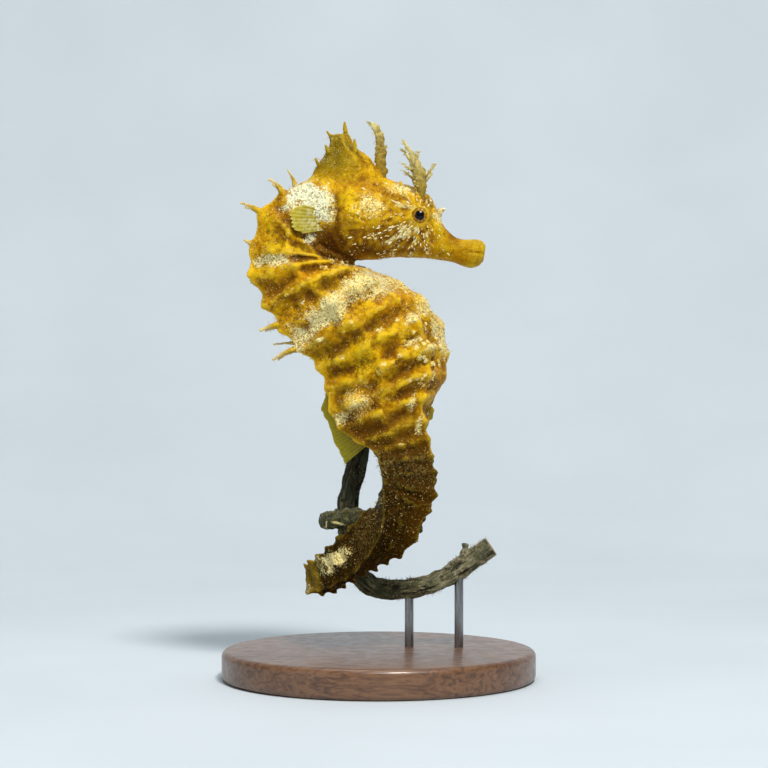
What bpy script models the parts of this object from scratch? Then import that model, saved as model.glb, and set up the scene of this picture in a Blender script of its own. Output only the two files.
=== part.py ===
"""Short-snouted seahorse gripping a cut stem, life size, on a plain stand.

All tables and dimensions are in millimetres and become metres in the meshes.
The animal faces +X with its right side to -Y. The stand's underside is Z = 0.

The body is one loft along its armour rings. Rings below 0 are the head, from
the mouth at -14 to the nape. Rings 0 to 11 are the trunk and the rest is the
tail, which winds down and round the stem.
"""
import math

import bmesh
import bpy
from mathutils import Vector

MM = 0.001
GAP = 0.3
FIN_THICKNESS = 0.5
# Levels of roundness of a tube: 6 and 8 sides.
SLIM = 1
ROUND = 2

# Ring, back x and z, belly x and z, half width.
BODY_SECTIONS = (
    (-14.0, 14.8, 58.3, 14.4, 55.5, 1.1),
    (-13.0, 13.7, 58.8, 12.8, 54.9, 1.7),
    (-11.5, 11.3, 58.9, 10.3, 55.7, 1.6),
    (-10.0, 9.6, 60.1, 7.9, 56.1, 2.0),
    (-8.5, 8.4, 62.3, 5.2, 56.3, 2.8),
    (-7.0, 7.1, 64.8, 2.4, 56.3, 3.2),
    (-5.0, 3.1, 66.4, -1.1, 56.0, 3.5),
    (-3.0, -2.4, 67.9, -3.9, 56.25, 3.8),
    (-1.5, -6.5, 68.1, -5.5, 56.9, 3.6),
    (0.0, -9.9, 66.5, -6.9, 57.55, 3.2),
    (1.0, -12.3, 65.1, -7.2, 57.3, 3.3),
    (2.0, -15.1, 62.3, -7.1, 56.7, 3.5),
    (3.0, -16.2, 57.7, -5.9, 56.1, 3.9),
    (4.0, -16.6, 54.4, -3.9, 55.75, 4.35),
    (5.0, -14.9, 51.0, -1.3, 54.9, 4.8),
    (6.0, -13.1, 47.8, 2.6, 53.4, 5.25),
    (7.0, -10.8, 44.7, 6.2, 50.9, 5.6),
    (8.0, -8.1, 42.2, 8.8, 47.4, 5.8),
    (9.0, -6.8, 39.6, 9.7, 43.6, 5.8),
    (10.0, -6.3, 36.9, 9.4, 40.2, 5.5),
    (11.0, -5.3, 34.2, 7.9, 37.2, 5.0),
    (12.0, -2.9, 32.0, 7.3, 34.4, 4.4),
    (13.0, -0.3, 30.3, 7.5, 31.9, 4.0),
    (15.0, 0.8, 26.8, 8.1, 27.4, 3.75),
)
TRUNK_RINGS = 11
TAIL_START = 15
TAIL_RINGS = 37
LAST_RING = TRUNK_RINGS + TAIL_RINGS
TAIL_RING_SHRINK = 0.976
# The body leans to its right from this ring on, before the tail takes over.
SWAY_START = 12
SWAY_REACH = 0.5
SWAY_SLOPE = 0.16

# Tail centre x, y, z and the compass angle of its back, before the coil.
TAIL_REACH = (
    (3.3, -0.1, 31.1, 180),
    (4.45, -0.5, 27.1, 180),
    (3.9, -1.4, 24.0, 188),
    (2.5, -2.7, 21.4, 197),
    (0.1, -3.0, 19.1, 216),
    (-3.3, -1.6, 16.4, 242),
)
# Angle round the coil's axis, distance from it, height.
COIL_AXIS = (-3.3, 4.0)
TAIL_COIL = (
    (-125, 4.5, 14.5),
    (-165, 4.3, 13.2),
    (-205, 4.1, 13.3),
    (-250, 3.9, 14.1),
    (-290, 4.3, 15.4),
    (-330, 4.2, 17.3),
    (-375, 3.3, 19.7),
    (-415, 2.9, 21.3),
    (-455, 3.1, 21.6),
    (-500, 3.2, 21.2),
    (-545, 3.2, 21.0),
    (-600, 3.0, 21.2),
    (-660, 2.8, 21.8),
)
# Distance to look ahead along the tail for its direction.
AIM_STEP = 0.2
# Steps between the given points of the tail when its length is measured.
TAIL_STEPS = 12
# Half depth where the tail begins, then length along it and half thickness.
TAIL_START_DEPTH = 3.66
TAIL_THICKNESS = (
    (0.0, 3.75),
    (3.2, 3.55),
    (6.5, 3.2),
    (10.0, 2.75),
    (15.0, 2.5),
    (18.5, 2.2),
    (22.0, 1.95),
    (28.0, 1.7),
    (34.0, 1.4),
    (40.0, 1.3),
    (48.0, 1.1),
    (53.0, 0.6),
)

# Corners of a section as (to the back, to the side), each a share of its half
# depth and half width: back, upper ridge, side ridge, lower ridge, belly.
HEAD_CORNERS = ((1.0, 0.0), (0.74, 0.66), (0.0, 1.0), (-0.7, 0.64), (-1.0, 0.0))
TRUNK_CORNERS = ((0.9, 0.0), (0.96, 0.52), (0.08, 1.0), (-0.66, 0.78), (-1.0, 0.0))
TAIL_CORNERS = ((0.86, 0.0), (0.92, 0.9), (0.0, 0.86), (-0.92, 0.9), (-0.86, 0.0))

# Height of the rings and of the knobs on their ridges. In the tail they are
# shares of its half width. Knobs on the middle lines are lower by one ratio.
TRUNK_RIB = 0.28
TRUNK_KNOB = 0.5
TAIL_RIB = 0.07
TAIL_KNOB = 0.13
LOW_KNOB = 0.3
# Share of the trunk's relief that is left along the belly.
BELLY_CALM = 0.5

# Ring, length of the pair of back spines, lean towards the tail in degrees.
BACK_SPINES = (
    (1, 2.7, 13),
    (2, 3.2, 11),
    (3, 1.7, -25),
    (6, 2.6, -7),
    (7, 3.3, 8),
)

LEFT_SPINE_SCALE = 0.88
SPINE_FOOT = 0.85
SPINE_SPREAD = 0.18
SPINE_RADII = (0.75, 0.27)

EYE_CENTRE = (5.9, 2.05, 61.7)
EYE_RADIUS = 1.5
EYE_SEGMENTS = 14
EYE_RINGS = 8
# Swellings on both sides of the head: x, z, reach, height.
HEAD_SWELLINGS = (
    (5.9, 61.7, 2.3, 0.45),
    (-0.4, 60.6, 3.4, 0.55),
    (5.4, 64.6, 1.2, 0.45),
)

# Height, front x, rear x, half width of the crown.
CROWN_SECTIONS = (
    (66.4, -0.2, -8.6, 2.5),
    (68.2, -0.3, -8.1, 2.4),
    (69.6, -0.8, -7.0, 1.9),
    (71.0, -2.5, -6.2, 1.4),
    (72.2, -3.2, -5.9, 1.0),
    (72.8, -3.5, -5.5, 0.6),
)
CROWN_SIDES = 12
# Root and tip of each point of the crown: on the middle line, and in pairs.
CROWN_MIDDLE_POINTS = (
    ((-3.9, 0.0, 71.0), (-4.1, 0.0, 74.5)),
    ((-5.2, 0.0, 71.4), (-6.5, 0.0, 73.2)),
)
CROWN_PAIRED_POINTS = (
    ((-3.0, 0.5, 69.5), (-2.7, 1.5, 72.0)),
    ((-5.6, 0.4, 69.3), (-6.6, 1.1, 71.3)),
    ((-6.6, 0.6, 67.6), (-7.9, 1.7, 69.4)),
)
CROWN_POINT_RADII = (0.8, 0.25)
# Root and tip of the spine over the snout, and its radii.
NOSE_SPINE = ((7.4, 0.0, 61.0), (9.2, 0.0, 62.9))
NOSE_SPINE_RADII = (1.1, 0.3)
# Branches of the filaments, root to tip, each with its radius at the root.
CROWN_FILAMENT = (
    (((0.6, 0, 66.0), (0.7, 0.1, 70.7), (0.4, 0, 73.2), (-0.6, 0, 74.3)), 0.42),
    (((0.6, 0.1, 70.2), (1.5, 0.3, 71.2)), 0.28),
)
BROW_FILAMENT = (
    (((5.8, 2.0, 63.4), (6.1, 2.6, 66.0), (5.3, 2.7, 69.0), (3.6, 2.6, 71.8)), 0.5),
    (((6.0, 2.6, 66.2), (7.2, 2.9, 67.4), (7.9, 3.0, 68.5)), 0.32),
    (((5.6, 2.65, 68.0), (5.7, 2.9, 70.2)), 0.28),
    (((5.4, 2.6, 67.2), (3.7, 2.4, 68.7)), 0.28),
)
LEFT_BROW_SCALE = 0.9
FILAMENT_TIP = 0.26

# Fin rays: root and tip of the first and last, with a bow between.
FIN_RIPPLE = 0.06
PECTORAL_RAYS = 9
PECTORAL_ROOTS = ((-7.6, 3.0, 62.6), (-7.3, 3.0, 59.8))
PECTORAL_TIPS = ((-10.1, 4.4, 63.2), (-10.3, 4.5, 59.2))
PECTORAL_BOW = 0.9
DORSAL_RAYS = 13
DORSAL_SPAN = (9.4, 12.4)
DORSAL_ROOT_DEPTH = 0.9
DORSAL_TIPS = ((-7.6, 37.7), (-7.0, 35.7), (-6.1, 33.9), (-5.3, 31.6), (-4.0, 28.8))
ANAL_RAYS = 4
ANAL_SPAN = (11.2, 11.9)
ANAL_LENGTH = 0.9
ANAL_ROOT_DEPTH = 0.6

STEM_RADIUS = 1.45
STEM_PATH = (
    (15.6, 2.9, 17.6),
    (12.7, 3.2, 15.6),
    (9.3, 3.6, 13.3),
    (6.0, 3.9, 12.1),
    (2.7, 4.0, 11.7),
    (-0.6, 3.9, 12.3),
    (-2.7, 3.8, 14.6),
    (-3.4, 3.9, 17.3),
    (-3.7, 4.0, 20.7),
    (-3.6, 4.2, 24.0),
    (-2.8, 5.0, 27.3),
    (-2.2, 6.4, 30.4),
    (-1.9, 7.6, 33.0),
)
STEM_STEPS = 3
STEM_SPLIT = 4
# The stem's thickness wavers by this share, once in about four steps.
STEM_WAVER = 0.05
STEM_WAVE = 1.7
TWIG_RADII = (0.7, 0.4)
TWIG = ((11.2, 3.4, 14.6), (12.0, 2.6, 16.6), (12.1, 2.3, 18.0))

BASE_RADIUS = 21.0
BASE_THICKNESS = 4.0
BASE_EDGE = 0.8
BASE_CENTRE = (0.5, 1.5)
BASE_SIDES = 40
ROD_RADIUS = 0.6
ROD_SIDES = 20
ROD_CLEARANCE = 0.1
ROD_FOOT = 2.0
RODS = ((4.6, 3.95, 11.9), (11.3, 3.35, 14.65))

# Node name, the rings it spans, and faces between the corners of its section.
BODY_NODES = (
    ("snout", -14.0, -10.2, 2),
    ("head", -10.2, -0.6, 2),
    ("neck", -0.6, 2.5, 2),
    ("trunk_upper", 2.5, 5.5, 2),
    ("trunk_middle", 5.5, 8.5, 2),
    ("trunk_lower", 8.5, 11.6, 2),
    ("tail_1", 11.6, 16.5, 2),
    ("tail_2", 16.5, 21.5, 2),
    ("tail_3", 21.5, 27.5, 1),
    ("tail_4", 27.5, 34.5, 1),
    ("tail_5", 34.5, 41.5, 1),
    ("tail_6", 41.5, float(LAST_RING), 1),
)

YELLOW = (0.78, 0.46, 0.06)
OLIVE = (0.42, 0.30, 0.08)
FIN_GREEN = (0.72, 0.66, 0.16)
BARK = (0.27, 0.25, 0.18)
WALNUT = (0.20, 0.11, 0.06)
STEEL = (0.55, 0.55, 0.56)
EYE_GOLD = (0.55, 0.38, 0.12)


# ---------------------------------------------------------------- curves

def spline(rows, at):
    """Values of a table at one key, on a smooth curve through its rows."""
    last = len(rows) - 2
    span = 0
    while span < last and at > rows[span + 1][0]:
        span += 1
    low, high = rows[span], rows[span + 1]
    width = high[0] - low[0]
    share = (at - low[0]) / width
    before = rows[max(span - 1, 0)]
    after = rows[min(span + 2, last + 1)]
    values = []
    for column in range(1, len(low)):
        slope_low = (high[column] - before[column]) / (high[0] - before[0]) * width
        slope_high = (after[column] - low[column]) / (after[0] - low[0]) * width
        step = high[column] - low[column]
        bend = (3 * step - 2 * slope_low - slope_high) * share ** 2
        twist = (slope_low + slope_high - 2 * step) * share ** 3
        values.append(low[column] + slope_low * share + bend + twist)
    return values


def smooth_path(points, count):
    """Evenly keyed points on a smooth curve through a few given ones."""
    rows = [(index, *point) for index, point in enumerate(points)]
    last = len(points) - 1
    return [Vector(spline(rows, last * step / count)) for step in range(count + 1)]


def ease(at, low, high):
    share = min(max((at - low) / (high - low), 0.0), 1.0)
    return share * share * (3 - 2 * share)


def mix(low, high, share):
    return low + (high - low) * share


def tail_rows():
    """Tail line as rows of length along it, x, y, z and angle of the back."""
    stops = list(TAIL_REACH)
    for angle, distance, height in TAIL_COIL:
        turn = math.radians(angle)
        x = COIL_AXIS[0] + distance * math.cos(turn)
        y = COIL_AXIS[1] + distance * math.sin(turn)
        stops.append((x, y, height, angle + 360))
    rows = [(index - 1, *stop) for index, stop in enumerate(stops)]
    count = TAIL_STEPS * (len(stops) - 2)
    fine = [spline(rows, step / TAIL_STEPS) for step in range(count + 1)]
    table = []
    length = 0.0
    for index, values in enumerate(fine):
        if index:
            length += (Vector(values[:3]) - Vector(fine[index - 1][:3])).length
        table.append((length, *values))
    return table


TAIL_LINE = tail_rows()
TAIL_LENGTH = TAIL_LINE[-1][0]


def tail_length_at(ring):
    """Rings grow shorter by one ratio, and together fill the tail's length."""
    count = LAST_RING - TAIL_START
    share = (1 - TAIL_RING_SHRINK ** (ring - TAIL_START)) / (1 - TAIL_RING_SHRINK ** count)
    return TAIL_LENGTH * share


# ---------------------------------------------------------------- body skin

class Section:
    """Frame and size of the body at one ring number."""

    def __init__(self, ring):
        self.ring = ring
        if ring <= TAIL_START:
            self.from_profile(ring)
        else:
            self.from_tail(ring)

    def from_profile(self, ring):
        back_x, back_z, belly_x, belly_z, width = spline(BODY_SECTIONS, ring)
        back = Vector((back_x, 0, back_z))
        belly = Vector((belly_x, 0, belly_z))
        sway = max(0.0, (ring - SWAY_START) / (TAIL_START - SWAY_START))
        self.centre = (back + belly) / 2 - Vector((0, SWAY_REACH * sway ** 2, 0))
        self.back = (back - belly).normalized()
        straight = self.back.cross(Vector((0, 1, 0)))
        self.along = (straight - Vector((0, SWAY_SLOPE * sway, 0))).normalized()
        self.side = self.along.cross(self.back)
        self.depth = (back - belly).length / 2
        self.width = width

    def from_tail(self, ring):
        at = tail_length_at(ring)
        x, y, z, angle = spline(TAIL_LINE, at)
        self.centre = Vector((x, y, z))
        ahead = Vector(spline(TAIL_LINE, min(at + AIM_STEP, TAIL_LENGTH))[:3])
        behind = Vector(spline(TAIL_LINE, max(at - AIM_STEP, 0.0))[:3])
        self.along = (ahead - behind).normalized()
        hint = Vector((math.cos(math.radians(angle)), math.sin(math.radians(angle)), 0))
        self.back = (hint - self.along * hint.dot(self.along)).normalized()
        self.side = self.along.cross(self.back)
        size = spline(TAIL_THICKNESS, min(at, TAIL_THICKNESS[-1][0]))[0]
        start = ease(ring, TAIL_START, TAIL_START + 2)
        self.depth = mix(TAIL_START_DEPTH, size, start)
        self.width = size


def corner_at(ring, index):
    """Corner of the section outline, from head to trunk to tail shape."""
    to_trunk = ease(ring, -2.0, 2.0)
    to_tail = ease(ring, 9.5, 14.0)
    corner = []
    for axis in (0, 1):
        value = mix(HEAD_CORNERS[index][axis], TRUNK_CORNERS[index][axis], to_trunk)
        corner.append(mix(value, TAIL_CORNERS[index][axis], to_tail))
    return Vector(corner)


def roundness(ring):
    return mix(1.0, 0.35, ease(ring, -2.0, 2.0)) * mix(1.0, 0.4, ease(ring, 9.5, 14.0))


def outline(ring, fineness):
    """Half outline from back to belly: (place, corner number) with fractions."""
    points = []
    for step in range(4 * fineness + 1):
        index = min(step // fineness, 3)
        share = step / fineness - index
        low = corner_at(ring, index)
        high = corner_at(ring, index + 1)
        flat = low.lerp(high, share)
        curved = flat.normalized() * mix(low.length, high.length, share)
        points.append((flat.lerp(curved, roundness(ring)), step / fineness))
    return points


def ring_height(ring):
    """1 on an armour ring, falling to 0 between rings, none on the head."""
    if ring < 0.5:
        return 0.0
    return max(0.0, 1 - 3 * abs(ring - round(ring)))


def armour_lift(section, corner):
    """How far a ring and its knobs stand out of the skin at an outline place."""
    ring = section.ring
    peak = ring_height(ring)
    at_ridge = max(0.0, 1 - 2 * abs(corner - round(corner)))
    if round(corner) in (0, 4):
        at_ridge *= LOW_KNOB
    open_belly = mix(1.0, ease(ring, 2.0, 5.0), ease(corner, 2.0, 4.0))
    in_tail = ease(ring, 10.0, 14.0)
    rib = mix(TRUNK_RIB, TAIL_RIB * section.width, in_tail)
    knob = mix(TRUNK_KNOB, TAIL_KNOB * section.width, in_tail)
    if round(corner) == 3:
        knob *= mix(1.0, LOW_KNOB, in_tail)
    calm = mix(1.0, BELLY_CALM, ease(corner, 3.0, 4.0) * (1 - in_tail))
    return peak * (rib + knob * at_ridge) * open_belly * calm


def head_lift(section, point):
    """Gill cover, eye rim and brow swell out of the sides of the head."""
    if section.ring > 0.5:
        return 0.0
    lift = 0.0
    for x, z, reach, height in HEAD_SWELLINGS:
        apart = math.hypot(point.x - x, point.z - z) / reach
        lift += height * math.exp(-apart * apart)
    return lift * min(1.0, abs(point.y) / section.width)


def section_points(ring, fineness, grow=0.0):
    """Closed loop of points round the body at one ring number."""
    section = Section(ring)
    half = outline(ring, fineness)
    loop = []
    for sign in (1, -1):
        side = half if sign == 1 else half[-2:0:-1]
        for place, corner in side:
            out = section.back * (place.x * section.depth)
            out += section.side * (place.y * section.width * sign)
            point = section.centre + out
            lift = armour_lift(section, corner) + head_lift(section, point) + grow
            loop.append(point + out.normalized() * lift)
    return loop, section


def ring_stops(start, end):
    """Ring numbers to place sections at: on each ring and beside it."""
    per_ring = 2 if start < -2 else 3
    stops = [start]
    step = math.floor(start * per_ring) + 1
    while step / per_ring < end - 0.1:
        if step / per_ring > start + 0.1:
            stops.append(step / per_ring)
        step += 1
    stops.append(end)
    return stops


# ---------------------------------------------------------------- objects

def fresh_scene():
    for obj in list(bpy.data.objects):
        bpy.data.objects.remove(obj)


def collection(name):
    made = bpy.data.collections.new(name)
    bpy.context.scene.collection.children.link(made)
    return made


def material(name, colour, roughness_value=0.5, metallic=0.0):
    made = bpy.data.materials.new(name)
    made.use_nodes = True
    shader = made.node_tree.nodes["Principled BSDF"]
    shader.inputs["Base Color"].default_value = (*colour, 1)
    shader.inputs["Roughness"].default_value = roughness_value
    shader.inputs["Metallic"].default_value = metallic
    return made


def add_object(name, mesh, where, surface=None):
    obj = bpy.data.objects.new(name, mesh)
    where.objects.link(obj)
    if surface:
        mesh.materials.append(surface)
    mesh.shade_smooth()
    return obj


def mesh_from(name, bm):
    bmesh.ops.recalc_face_normals(bm, faces=bm.faces)
    bmesh.ops.scale(bm, vec=(MM, MM, MM), verts=bm.verts)
    mesh = bpy.data.meshes.new(name)
    bm.to_mesh(mesh)
    bm.free()
    return mesh


def bridge(bm, loops):
    """Skin over a row of loops of equal length, with flat ends."""
    rows = [[bm.verts.new(point) for point in loop] for loop in loops]
    count = len(rows[0])
    for low, high in zip(rows, rows[1:]):
        for index in range(count):
            after = (index + 1) % count
            bm.faces.new((low[index], low[after], high[after], high[index]))
    bm.faces.new(list(reversed(rows[0])))
    bm.faces.new(rows[-1])


def body_mesh(name, start, end, fineness=2, grow=0.0, trim=0.0):
    """Loft of the body between two rings, its ends moved in by the trim."""
    loops = []
    stops = ring_stops(start, end)
    for stop in stops:
        loop, section = section_points(stop, fineness, grow)
        shift = 0.0
        if stop == stops[0]:
            shift = trim
        elif stop == stops[-1]:
            shift = -trim
        loops.append([point + section.along * shift for point in loop])
    bm = bmesh.new()
    bridge(bm, loops)
    return mesh_from(name, bm)


def tube(name, points, radii, sides_level, where, surface=None):
    """Round tube along points, with a radius at each, as a closed mesh."""
    curve = bpy.data.curves.new(name, "CURVE")
    curve.dimensions = "3D"
    curve.bevel_depth = MM
    curve.bevel_resolution = sides_level
    curve.use_fill_caps = True
    line = curve.splines.new("POLY")
    line.points.add(len(points) - 1)
    for knot, point, radius in zip(line.points, points, radii):
        knot.co = (*(Vector(point) * MM), 1)
        knot.radius = radius
    holder = bpy.data.objects.new(name + "_curve", curve)
    where.objects.link(holder)
    bpy.context.view_layer.update()
    graph = bpy.context.evaluated_depsgraph_get()
    mesh = bpy.data.meshes.new_from_object(holder.evaluated_get(graph))
    bm = bmesh.new()
    bm.from_mesh(mesh)
    bmesh.ops.remove_doubles(bm, verts=bm.verts, dist=1e-7)
    bmesh.ops.recalc_face_normals(bm, faces=bm.faces)
    bm.to_mesh(mesh)
    bm.free()
    bpy.data.objects.remove(holder)
    return add_object(name, mesh, where, surface)


def taper(points, root, tip):
    last = len(points) - 1
    return [mix(root, tip, index / last) for index in range(len(points))]


def boolean(obj, cutter, operation, overlapping=False):
    """Apply one exact Boolean so that the object keeps a plain mesh."""
    modifier = obj.modifiers.new(operation.lower(), "BOOLEAN")
    modifier.operation = operation
    modifier.object = cutter
    modifier.solver = "EXACT"
    modifier.use_self = overlapping
    bpy.context.view_layer.update()
    graph = bpy.context.evaluated_depsgraph_get()
    mesh = bpy.data.meshes.new_from_object(obj.evaluated_get(graph))
    obj.modifiers.clear()
    obj.data = mesh


def hide_cutter(cutter):
    cutter.hide_render = True
    cutter.display_type = "WIRE"


def keep_largest(obj):
    """Drop the loose crumbs that a cut can leave."""
    bm = bmesh.new()
    bm.from_mesh(obj.data)
    left = set(bm.verts)
    pieces = []
    while left:
        piece = set()
        front = [left.pop()]
        while front:
            vert = front.pop()
            piece.add(vert)
            for edge in vert.link_edges:
                other = edge.other_vert(vert)
                if other in left:
                    left.remove(other)
                    front.append(other)
        pieces.append(piece)
    pieces.sort(key=len)
    for piece in pieces[:-1]:
        bmesh.ops.delete(bm, geom=list(piece), context="VERTS")
    bm.to_mesh(obj.data)
    bm.free()


# ---------------------------------------------------------------- the animal

def spine_direction(section, lean, sign):
    """Out of the back and a little to the side, leaning along the body."""
    angle = math.radians(lean)
    out = section.back * math.cos(angle) + section.along * math.sin(angle)
    return (out + section.side * (SPINE_SPREAD * sign)).normalized()


def add_spines(obj, start, end, cutters):
    """Long spines stand in pairs on the upper ridges of some trunk rings."""
    for ring, length, lean in BACK_SPINES:
        if not start < ring < end:
            continue
        section = Section(ring)
        ridge = corner_at(ring, 1)
        for sign in (-1, 1):
            out = section.back * (ridge.x * section.depth)
            out += section.side * (ridge.y * section.width * sign)
            root = section.centre + out * SPINE_FOOT
            reach = length * (1.0 if sign == -1 else LEFT_SPINE_SCALE)
            direction = spine_direction(section, lean, sign)
            surface = section.centre + out
            middle = surface + direction * reach / 2
            points = smooth_path((root, middle, surface + direction * reach), 4)
            side = "right" if sign == -1 else "left"
            name = f"spine_{ring}_{side}"
            cutter = tube(name, points, taper(points, *SPINE_RADII), SLIM, cutters)
            hide_cutter(cutter)
            boolean(obj, cutter, "UNION")


def build_body(parts, cutters, skin, tail_skin):
    for name, start, end, fineness in BODY_NODES:
        surface = tail_skin if name.startswith("tail") else skin
        mesh = body_mesh(name, start, end, fineness, trim=GAP / 2)
        obj = add_object(name, mesh, parts, surface)
        add_spines(obj, start, end, cutters)


def build_eyes(parts, cutters, surface):
    head = bpy.data.objects["head"]
    for name, sign in (("eye_right", -1), ("eye_left", 1)):
        x, y, z = EYE_CENTRE
        place = Vector((x, y * sign, z)) * MM
        eye = ball(name, place, EYE_RADIUS, parts)
        eye.data.materials.append(surface)
        socket = ball(name + "_socket", place, EYE_RADIUS + GAP / 2, cutters)
        hide_cutter(socket)
        boolean(head, socket, "DIFFERENCE")


def ball(name, place, radius, where):
    bm = bmesh.new()
    bmesh.ops.create_uvsphere(bm, u_segments=EYE_SEGMENTS, v_segments=EYE_RINGS, radius=radius)
    obj = add_object(name, mesh_from(name, bm), where)
    obj.location = place
    return obj


def crown_loops():
    loops = []
    for height, front, rear, half in CROWN_SECTIONS:
        middle = (front + rear) / 2
        reach = (front - rear) / 2
        loop = []
        for step in range(CROWN_SIDES):
            turn = math.tau * step / CROWN_SIDES
            x = middle + reach * math.cos(turn)
            loop.append(Vector((x, half * math.sin(turn), height)))
        loops.append(loop)
    return loops


def crown_point_ends():
    """Name, root and tip of every point of the crown."""
    ends = []
    for index, (root, tip) in enumerate(CROWN_MIDDLE_POINTS):
        ends.append((f"crown_point_{index}", Vector(root), Vector(tip)))
    for index, pair in enumerate(CROWN_PAIRED_POINTS):
        for side, sign in (("right", -1), ("left", 1)):
            root, tip = [Vector((x, y * sign, z)) for x, y, z in pair]
            ends.append((f"crown_pair_{index}_{side}", root, tip))
    return ends


def build_crown(parts, grown_body, cutters, surface):
    """Crest with a tall spike, and smaller points at its corners."""
    bm = bmesh.new()
    bridge(bm, crown_loops())
    crown = add_object("coronet", mesh_from("coronet", bm), parts, surface)
    for name, root, tip in crown_point_ends():
        cutter = tube(name, (root, tip), CROWN_POINT_RADII, SLIM, cutters)
        hide_cutter(cutter)
        boolean(crown, cutter, "UNION")
    boolean(crown, grown_body, "DIFFERENCE")
    keep_largest(crown)


def build_nose_spine(cutters):
    """Short spine on the middle line between the eyes and the snout."""
    cutter = tube("nose_spine", NOSE_SPINE, NOSE_SPINE_RADII, SLIM, cutters)
    hide_cutter(cutter)
    boolean(bpy.data.objects["head"], cutter, "UNION")


def filament(name, branches, parts, cutters, grown_body, surface):
    """Branched skin filament: a stalk, with its side branches united to it."""
    whole = None
    for index, (knots, radius) in enumerate(branches):
        points = smooth_path(knots, 2 * (len(knots) - 1))
        radii = taper(points, radius, FILAMENT_TIP)
        if index == 0:
            whole = tube(name, points, radii, SLIM, parts, surface)
            continue
        branch = tube(f"{name}_branch_{index}", points, radii, SLIM, cutters)
        hide_cutter(branch)
        boolean(whole, branch, "UNION")
    boolean(whole, grown_body, "DIFFERENCE")
    keep_largest(whole)


def build_filaments(parts, cutters, grown_body, surface):
    filament("crown_filament", CROWN_FILAMENT, parts, cutters, grown_body, surface)
    for name, sign, scale in (
        ("brow_filament_right", -1, 1.0),
        ("brow_filament_left", 1, LEFT_BROW_SCALE),
    ):
        foot = BROW_FILAMENT[0][0][0]
        branches = []
        for knots, radius in BROW_FILAMENT:
            moved = [[mix(foot[axis], knot[axis], scale) for axis in range(3)] for knot in knots]
            branches.append(([(x, y * sign, z) for x, y, z in moved], radius))
        filament(name, branches, parts, cutters, grown_body, surface)


# ---------------------------------------------------------------- fins

def fin(name, rays, parts, grown_body, surface):
    """Thin web between rays, each a root and a tip, cut free of the body."""
    steps = 3
    bm = bmesh.new()
    rows = []
    for index, (root, tip) in enumerate(rays):
        ripple = Vector((0, FIN_RIPPLE if index % 2 else -FIN_RIPPLE, 0))
        rows.append([bm.verts.new(root.lerp(tip, step / steps) + ripple) for step in range(steps + 1)])
    for low, high in zip(rows, rows[1:]):
        for step in range(steps):
            bm.faces.new((low[step], low[step + 1], high[step + 1], high[step]))
    obj = add_object(name, mesh_from(name, bm), parts, surface)
    shell = obj.modifiers.new("thickness", "SOLIDIFY")
    shell.thickness = FIN_THICKNESS * MM
    shell.offset = 0
    boolean(obj, grown_body, "DIFFERENCE")
    keep_largest(obj)


def build_pectorals(parts, grown_body, surface):
    for name, sign in (("fin_pectoral_right", -1), ("fin_pectoral_left", 1)):
        rays = []
        for index in range(PECTORAL_RAYS):
            share = index / (PECTORAL_RAYS - 1)
            root = Vector(PECTORAL_ROOTS[0]).lerp(Vector(PECTORAL_ROOTS[1]), share)
            tip = Vector(PECTORAL_TIPS[0]).lerp(Vector(PECTORAL_TIPS[1]), share)
            tip.x -= PECTORAL_BOW * math.sin(math.pi * share)
            root.y *= sign
            tip.y *= sign
            rays.append((root, tip))
        fin(name, rays, parts, grown_body, surface)


def build_dorsal(parts, grown_body, surface):
    tips = smooth_path([(x, 0, z) for x, z in DORSAL_TIPS], DORSAL_RAYS - 1)
    rays = []
    for index, tip in enumerate(tips):
        ring = mix(*DORSAL_SPAN, index / (DORSAL_RAYS - 1))
        section = Section(ring)
        root = section.centre + section.back * (section.depth - DORSAL_ROOT_DEPTH)
        rays.append((root, tip))
    fin("fin_dorsal", rays, parts, grown_body, surface)


def build_anal(parts, grown_body, surface):
    rays = []
    for index in range(ANAL_RAYS):
        section = Section(mix(*ANAL_SPAN, index / (ANAL_RAYS - 1)))
        edge = section.centre - section.back * section.depth
        outward = section.along - section.back
        root = edge + section.back * ANAL_ROOT_DEPTH
        rays.append((root, edge + outward.normalized() * ANAL_LENGTH))
    fin("fin_anal", rays, parts, grown_body, surface)


# ---------------------------------------------------------------- perch, stand

def stem_pieces():
    """Stem points parted in two at the bend, with the gap between them."""
    points = smooth_path(STEM_PATH, STEM_STEPS * (len(STEM_PATH) - 1))
    split = STEM_STEPS * STEM_SPLIT
    branch = points[:split + 1]
    upright = points[split:]
    direction = (points[split + 1] - points[split - 1]).normalized()
    branch[-1] = branch[-1] - direction * GAP / 2
    upright[0] = upright[0] + direction * GAP / 2
    return branch, upright


def build_perch(parts, cutters, surface):
    branch_points, upright_points = stem_pieces()
    sizes = [
        STEM_RADIUS * (1 + STEM_WAVER * math.sin(STEM_WAVE * index))
        for index in range(len(upright_points))
    ]
    branch_sizes = sizes[:len(branch_points)]
    branch = tube("perch_branch", branch_points, branch_sizes, ROUND, parts, surface)
    tube("perch_upright", upright_points, sizes, ROUND, parts, surface)
    points = smooth_path(TWIG, 4)
    twig = tube("twig", points, taper(points, *TWIG_RADII), ROUND, cutters)
    hide_cutter(twig)
    boolean(branch, twig, "UNION")


def cylinder(name, place, radius, bottom, top, where, sides=ROD_SIDES):
    bm = bmesh.new()
    height = top - bottom
    bmesh.ops.create_cone(
        bm, cap_ends=True, segments=sides, radius1=radius, radius2=radius, depth=height,
    )
    obj = add_object(name, mesh_from(name, bm), where)
    obj.location = Vector((place[0], place[1], bottom + height / 2)) * MM
    return obj


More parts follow.
